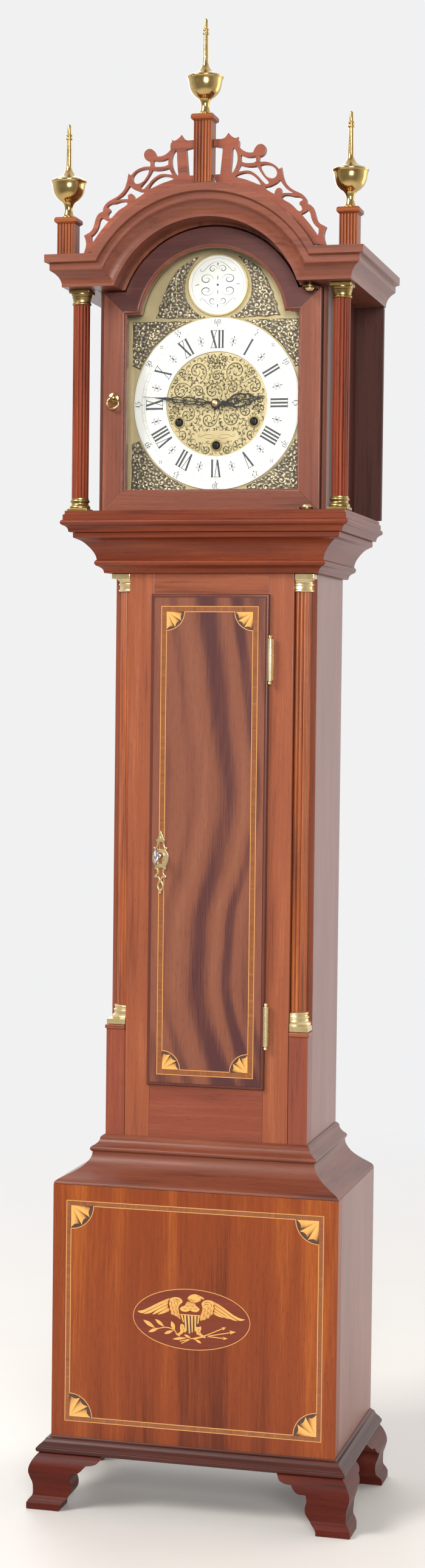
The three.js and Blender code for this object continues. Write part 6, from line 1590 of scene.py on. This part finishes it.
# cast spandrels: relief of leafy scrolls, with dark patina in the hollows and a painted highlight on the high parts
def relief(param, nu, nv, seed):
    """param(u, v) gives (x, z) of a casting; scrolls with bosses, veined leaves and beads are raised on it."""
    rr = random.Random(seed)
    flat = np.array([param(i / nu, j / nv) for i in range(nu + 1) for j in range(nv + 1)])
    h = np.zeros(len(flat))
    taken = []

    def leaf(x, z, a, b, ang, top, vein=0.0):
        dx, dz = flat[:, 0] - x, flat[:, 1] - z
        u = dx * math.cos(ang) + dz * math.sin(ang)
        w = dz * math.cos(ang) - dx * math.sin(ang)
        q = 1 - (u / a) ** 2 - (w / b) ** 2
        on = q > 0
        up = top * np.sqrt(q[on]) * (1 - vein * np.exp(-((w[on] / (0.26 * b)) ** 2)))
        h[on] = np.maximum(h[on], up)

    def spots(size, tries, edge):
        found = []
        for _ in range(tries):
            p = param(rr.uniform(0.02, 0.98), rr.uniform(edge, 1 - edge))
            if all(math.hypot(p[0] - c[0], p[1] - c[1]) > 0.5 * (size + c[2]) for c in taken):
                taken.append((p[0], p[1], size))
                found.append(p)
        return found

    for size, tries, edge in ((9.6, 90, 0.34), (6.6, 260, 0.24)):
        for x, z in spots(size, tries, edge):
            s, a0, hand = 0.33 * size, rr.uniform(0, 2 * PI), rr.choice((-1, 1))
            for t in np.linspace(0, 1, 30):
                r, a = s * (1.12 - 0.86 * t), a0 + hand * t * 2 * PI * 1.1
                leaf(x + r * math.cos(a), z + r * math.sin(a), 0.5 + 0.12 * t, 0.5 + 0.12 * t, 0, 0.72 + 0.2 * t)
            leaf(x, z, 0.62 + 0.1 * s, 0.62 + 0.1 * s, 0, 1.0)
            for j in range(6):
                b = a0 + hand * (0.45 + 1.0 * j)
                q = 1.1 * s + 0.95
                leaf(x + q * math.cos(b), z + q * math.sin(b), 1.55, 0.85, b + hand * 0.75, 0.95 - 0.07 * j, 0.5)
    for x, z in spots(2.7, 1400, 0.05):
        leaf(x, z, 1.5, 0.82, rr.uniform(0, PI), rr.uniform(0.5, 0.85), 0.45)
    for x, z in spots(1.5, 1400, 0.04):
        leaf(x, z, 0.6, 0.6, 0, rr.uniform(0.3, 0.55))
    ui, vi = np.meshgrid(np.arange(nu + 1), np.arange(nv + 1), indexing="ij")
    rim = np.sqrt(np.minimum(np.minimum(ui, nu - ui) / 2.5, np.minimum(vi, nv - vi) / 2.5).clip(0, 1).ravel())
    height = 0.28 + 0.3 * rim + 1.25 * h * rim
    top = [(p[0], DY - 0.02 - q, p[1]) for p, q in zip(flat, height)]
    low = [(p[0], DY, p[1]) for p in flat]
    n = len(flat)
    idx = np.arange(n).reshape(nu + 1, nv + 1)
    f = []
    for i in range(nu):
        for j in range(nv):
            f.append((idx[i, j], idx[i + 1, j], idx[i + 1, j + 1], idx[i, j + 1]))
    loop = list(idx[:, 0]) + list(idx[-1, 1:]) + list(idx[-2::-1, -1]) + list(idx[0, -2:0:-1])
    base = {k: n + i for i, k in enumerate(loop)}
    v = top + [low[k] for k in loop]
    m = len(loop)
    f += [(loop[i], loop[(i + 1) % m], base[loop[(i + 1) % m]], base[loop[i]]) for i in range(m)]
    f.append(tuple(base[k] for k in loop))
    # shade runs from dark patina in the hollows to a pale painted highlight on the highest relief
    s = list((0.10 + 0.95 * h * rim).clip(0, 1)) + [0.1] * m
    return v, [tuple(int(i) for i in q) for q in f], s


def corner_param(sx, sz):
    x1, zt = 75.6, (71.4 if sz > 0 else 76.0)
    # between the ring and the plate's corner, swept in clock angle
    t0, t1 = math.radians(17.6 if sz > 0 else 21.0), math.radians(66.0)

    def param(u, v):
        t = t0 + (t1 - t0) * u
        r0 = 74.3 + 0.6 * abs(math.sin(13 * t))
        r1 = min(x1 / math.sin(t), zt / math.cos(t)) - 0.6 * abs(math.sin(19 * t))
        r = r0 + max(0.4, r1 - r0) * v
        return (sx * r * math.sin(t), DZ + sz * r * math.cos(t))

    return param


for k, (sx, sz) in enumerate(((-1, 1), (1, 1), (-1, -1), (1, -1))):
    v, f, s = relief(corner_param(sx, sz), 150, 66, 5 + k)
    acc = Acc()
    acc.add(v, f, "x", 0, s)
    piece("spandrel_%s_%s" % ("upper" if sz > 0 else "lower", "left" if sx < 0 else "right"), acc, CAST_PATINA_AND_HIGHLIGHT, "case", angle=80)

ARCH_IN = spline([(17.6, 1072.6), (22.5, 1066.6), (26.2, 1060.5), (28.5, 1053.5), (29.2, 1046.5), (28.4, 1040.0), (25.6, 1033.4), (21.6, 1028.2), (16.5, 1024.2), (11.6, 1022.3)], (), 8)
ARCH_OUT = spline([(18.6, 1073.2), (27.0, 1069.0), (35.6, 1063.4), (42.0, 1055.2), (46.8, 1046.2), (50.0, 1038.2), (52.8, 1030.4), (55.4, 1021.9), (44.0, 1020.8), (33.0, 1021.2), (22.0, 1020.7), (11.4, 1021.6)], [7], 8)


def along(run, u):
    """A point at a share of the length of a line."""
    p = np.array(run)
    d = np.concatenate([[0], np.cumsum(np.linalg.norm(np.diff(p, axis=0), axis=1))])
    return np.array([np.interp(u * d[-1], d, p[:, 0]), np.interp(u * d[-1], d, p[:, 1])])


def arch_param(sx):
    # round the medallion on one side, out to a leafy edge and down to a level foot with a tail to the centre
    def param(u, v):
        a, b = along(ARCH_IN, u), along(ARCH_OUT, u)
        p = a + (b - a) * (0.02 * abs(math.sin(40 * u)) + (0.98 - 0.05 * abs(math.sin(31 * u))) * v)
        return (sx * p[0], p[1])

    return param


for sx in (-1, 1):
    v, f, s = relief(arch_param(sx), 150, 66, 31 + sx)
    acc = Acc()
    acc.add(v, f, "x", 0, s)
    piece("spandrel_arch_%s" % ("left" if sx < 0 else "right"), acc, CAST_PATINA_AND_HIGHLIGHT, "case", angle=80)


# ------------------------------------------------------------------ hands
m_ang, h_ang = 46 / 60 * 360, (2 + 46 / 60) / 12 * 360


def on_hand(deg):
    a = math.radians(deg)
    return lambda u, w: (u * math.sin(a) + w * math.cos(a), DZ + u * math.cos(a) - w * math.sin(a))


def hand_strokes(acc, deg, strokes, y0, y1):
    to = on_hand(deg)
    for k, (pts, widths, both) in enumerate(strokes):
        for s in (1, -1) if both else (1,):
            run = spline([(u, s * w) for u, w in pts], (), 5) if len(pts) > 2 else [(u, s * w) for u, w in pts]
            n = len(run)
            ws = np.interp(np.linspace(0, 1, n), np.linspace(0, 1, len(widths)), widths)
            acc.add(*ribbon([to(u, w) for u, w in run], list(ws), y0 + 0.012 * (k % 4), y1), "x")


HOUR = [
    ([(0, 0), (10.5, 0)], [3.4, 1.8], False),
    ([(9.0, 0.3), (12.5, 2.4), (16.5, 4.9), (21.5, 5.5), (25.5, 4.3), (26.4, 2.4), (24.6, 1.5), (23.2, 2.5)], [0.9, 1.1, 1.3, 1.3, 1.1, 0.9, 0.8, 0.7], True),
    ([(10.0, 0), (14.0, 1.4), (17.4, 2.4), (19.6, 1.6), (19.0, 0.5), (17.6, 0.9)], [0.9, 0.9, 1.0, 0.9, 0.8, 0.6], True),
    ([(17.5, 0), (33.0, 0)], [0.8, 1.0], False),
    ([(24.8, 3.9), (28.5, 4.6), (31.2, 3.4), (31.0, 1.8), (29.4, 1.6)], [0.8, 1.1, 1.1, 0.9, 0.6], True),
    ([(29.8, 3.0), (33.0, 1.6), (36.5, 0.6), (43.0, 0.05)], [0.8, 1.0, 0.8, 0.2], True),
]
MINUTE = [
    ([(-16.0, 0), (-12.5, 0), (-5, 0), (0, 0)], [1.6, 2.6, 1.4, 3.2], False),
    ([(0, 0), (9, 0)], [3.2, 1.5], False),
    ([(7.0, 0.2), (10.5, 1.9), (14.5, 2.7), (17.6, 1.8), (17.0, 0.7), (15.2, 1.1)], [0.8, 1.0, 1.1, 1.0, 0.8, 0.6], True),
    ([(8, 0), (64.0, 0)], [1.0, 0.35], False),
    ([(16.8, 0.8), (20.5, 2.5), (25.0, 2.9), (28.4, 1.8), (27.6, 0.7), (25.6, 1.2)], [0.8, 1.0, 1.1, 1.0, 0.8, 0.6], True),
    ([(27.6, 0.9), (31.5, 2.2), (35.5, 2.2), (38.6, 1.0), (37.2, 0.5)], [0.7, 0.9, 1.0, 0.9, 0.6], True),
    ([(37.5, 0.2), (42.0, 0.9), (47.0, 0.5), (54.0, 0.1)], [0.6, 0.9, 0.8, 0.4], True),
]
acc = Acc()
hand_strokes(acc, h_ang, HOUR, 43.6, 44.4)
acc.add(*lathe([(1.95, 43.2), (3.9, 43.2), (4.4, 43.6), (4.4, 44.4), (3.2, 44.5), (3.2, 51.0), (1.95, 51.0)], (0, DZ), 32, "y", closed=True))


def gear(teeth, module, z0, phase):
    rp, st = teeth * module / 2, 2 * PI / teeth
    pts = []
    for i in range(teeth):
        a = phase + i * st
        for r, d in ((rp - 1.12 * module, -0.29), (rp - 0.1 * module, -0.21), (rp + 0.6 * module, -0.13), (rp + 0.82 * module, -0.06), (rp + 0.82 * module, 0.06), (rp + 0.6 * module, 0.13), (rp - 0.1 * module, 0.21), (rp - 1.12 * module, 0.29)):
            pts.append((r * math.cos(a + d * st), z0 + r * math.sin(a + d * st)))
    return pts


hole_ring = lambda r, z0, n=28: [(r * math.cos(t), z0 + r * math.sin(t)) for t in np.linspace(0, 2 * PI, n + 1)[:-1]]
acc.add(*holed([gear(24, 1.6, DZ, PI / 2 + PI / 24), hole_ring(3.1, DZ)], 51.0, 53.4, 0.12, 0), "x", 1)
piece("hour_hand_pierced", acc, [BLACK, CLOCK_BRASS], "hour_hand", "hour_hand", 40)
acc = Acc()
hand_strokes(acc, m_ang, MINUTE, 41.4, 42.2)
acc.add(*lathe([(0, 41.0), (3.3, 41.0), (3.8, 41.4), (3.8, 42.2), (1.4, 42.3), (1.4, 66.3), (0, 66.5)], (0, DZ), 32, "y"))
acc.add(*lathe([(0, 39.25), (0.5, 39.25), (0.8, 39.45), (1.7, 39.5), (2.3, 39.7), (2.8, 40.2), (2.95, 41.05), (0, 41.05)], (0, DZ), 32, "y"), "x", 2)
acc.add(*prism(gear(6, 2.0, DZ, PI / 2 + PI / 6), 55.2, 58.0, "y", 0.1), "x", 1)
piece("minute_hand_pierced", acc, [BLACK, BRASS, NUT], "minute_hand", "minute_hand", 40)

# ------------------------------------------------------------------ movement
for node in ("movement_front_plate", "movement_back_plate"):
    dress(node, CLOCK_BRASS, 0.3)
dress("minute_wheel", CLOCK_BRASS, 0.12)
dress("anchor_crutch", STEEL, 0.15)
dress("pendulum_rod", CLOCK_BRASS, 0.2)
for name, x, z in (("left", -33.0, 932.5), ("center", 0.0, 912.5), ("right", 33.0, 932.5)):
    y0 = 88 if name == "center" else 66
    acc = Acc()
    acc.add(*lathe([(0, 58.2), (2.9, 58.2), (2.9, y0), (20.0, y0), (20.6, y0 - 0.1), (22.9, y0), (23.5, y0 + 0.5), (23.5, y0 + 15.4), (2.9, y0 + 15.4), (2.9, 107.6), (1.6, 107.6), (1.6, 110.4), (0, 110.4)], (x, z), 56, "y"))
    acc.add(*prism(gear(72, 0.7, z, 0.0), y0 + 15.3, y0 + 18.0, "y"), "x") if x == 0 else acc.add(*[[(p[0] + x, p[1], p[2]) for p in q] if i == 0 else q for i, q in enumerate(prism(gear(72, 0.7, z, 0.0), y0 + 15.3, y0 + 18.0, "y"))], "x")
    # the winding square takes the dark steel: painted shade of its hole
    acc.add(*box(x - 2, x + 2, 45.6, 60, z - 2, z + 2, 0.35), "x", 1)
    piece("spring_barrel_%s_turned" % name, acc, [CLOCK_BRASS, ARBOR_STEEL_PAINTED_DARK], "spring_barrel_" + name, "spring_barrel_" + name, 30)
bob = spline([(0, 116.0), (8, 116.15), (16, 116.9), (24, 118.4), (29.5, 120.4), (31.6, 121.3), (32, 122.0), (31.6, 122.7), (29.5, 123.6), (24, 125.6), (16, 127.1), (8, 127.85), (0, 128.0)], [4, 8], 4)
acc = Acc()
acc.add(*lathe(bob, (0, 600), 72, "y"))
acc.add(*lathe([(0, 554), (1.5, 554), (1.5, 558), (4.2, 558.2), (4.6, 558.8), (4.6, 562.2), (4.2, 562.8), (1.5, 563), (1.5, 570.5), (0, 570.5)], (0, 122), 24))
piece("pendulum_bob_spun", acc, BRASS, "pendulum", "pendulum_bob", 40)

# ------------------------------------------------------------------ camera, floor and light
scene = bpy.context.scene
cam = bpy.data.objects.new("camera", bpy.data.cameras.new("camera"))
scene.collection.objects.link(cam)
az, pitch, roll, f_px = math.radians(-14.289), math.radians(-2.079), math.radians(0.668), 4101.6
fwd = Vector((math.sin(az) * math.cos(pitch), math.cos(az) * math.cos(pitch), math.sin(pitch)))
right = Vector((math.cos(az), -math.sin(az), 0))
up = right.cross(fwd)
r2 = math.cos(roll) * right + math.sin(roll) * up
u2 = -math.sin(roll) * right + math.cos(roll) * up
rot = Matrix((r2, u2, -fwd)).transposed()
cam.matrix_world = Matrix.Translation((0.5296, -2.10205, 0.7006)) @ rot.to_4x4()
cam.data.sensor_fit = "AUTO"
cam.data.sensor_width = 36.0
cam.data.lens = f_px / 2576 * 36.0
cam.data.clip_start, cam.data.clip_end = 0.05, 60
scene.camera = cam

floor = bpy.data.objects.new("floor", bpy.data.meshes.new("floor"))
n = 64
floor.data.from_pydata([(0, 0, -0.0004)] + [(4 * math.cos(2 * PI * i / n), 4 * math.sin(2 * PI * i / n), -0.0004) for i in range(n)], [], [(0, 1 + i, 1 + (i + 1) % n) for i in range(n)])
scene.collection.objects.link(floor)
fm = Mat("pale_floor")
tc = fm.node("ShaderNodeTexCoord").outputs["Object"]
fm.link(fm.mix(fm.noise(tc, 5.0, 4.0), lin(206, 202, 198), lin(214, 211, 207)), fm.p.inputs["Base Color"])
fm.p.inputs["Roughness"].default_value = 0.6
ln = fm.node("ShaderNodeVectorMath", operation="LENGTH")
fm.link(tc, ln.inputs[0])
fade = fm.span(ln.outputs["Value"], 0.5, 1.9, 0.0, 1.0)
clear = fm.node("ShaderNodeBsdfTransparent")
mixs = fm.node("ShaderNodeMixShader")
fm.link(fade, mixs.inputs[0])
fm.link(fm.p.outputs[0], mixs.inputs[1])
fm.link(clear.outputs[0], mixs.inputs[2])
fm.link(mixs.outputs[0], fm.nt.nodes["Material Output"].inputs["Surface"])
floor.data.materials.append(fm.mat)

# a studio: white behind the object, dim behind the camera
world = bpy.data.worlds.new("studio")
scene.world = world
world.use_nodes = True
wn = world.node_tree
bg = wn.nodes["Background"]
wtc = wn.nodes.new("ShaderNodeTexCoord")
wsep = wn.nodes.new("ShaderNodeSeparateXYZ")
wn.links.new(wtc.outputs["Generated"], wsep.inputs[0])
wr = wn.nodes.new("ShaderNodeMapRange")
wr.inputs[1].default_value, wr.inputs[2].default_value = -0.55, 0.25
wr.inputs[3].default_value, wr.inputs[4].default_value = 0.0, 1.0
wn.links.new(wsep.outputs[1], wr.inputs[0])
wm = wn.nodes.new("ShaderNodeMix")
wm.data_type = "RGBA"
wn.links.new(wr.outputs[0], wm.inputs[0])
wm.inputs[6].default_value = (0.30, 0.29, 0.28, 1)
wm.inputs[7].default_value = (0.88, 0.88, 0.89, 1)
wn.links.new(wm.outputs[2], bg.inputs["Color"])
bg.inputs["Strength"].default_value = 1.0


def lamp(name, at, to, w, h, power, color=(1, 1, 1)):
    data = bpy.data.lights.new(name, "AREA")
    data.shape = "RECTANGLE"
    data.size, data.size_y = w, h
    data.energy = power
    data.color = color
    ob = bpy.data.objects.new(name, data)
    ob.location = at
    ob.rotation_euler = (Vector(to) - Vector(at)).to_track_quat("-Z", "Y").to_euler()
    ob.visible_camera = False
    scene.collection.objects.link(ob)
    return ob


lamp("key", (-1.9, -2.0, 2.7), (0, 0, 0.75), 1.3, 1.3, 110, (1, 0.985, 0.955))
lamp("fill", (0.95, -2.9, 1.35), (0, 0, 0.75), 1.0, 1.0, 78, (1, 0.99, 0.97))
lamp("side", (2.0, 1.5, 1.0), (0.1, 0, 0.6), 1.4, 2.2, 18, (1, 0.9, 0.76))
lamp("rear", (-1.2, 2.2, 1.7), (0, 0, 0.7), 1.4, 1.8, 18)


scene.view_settings.view_transform = "Standard"
scene.view_settings.look = "None"
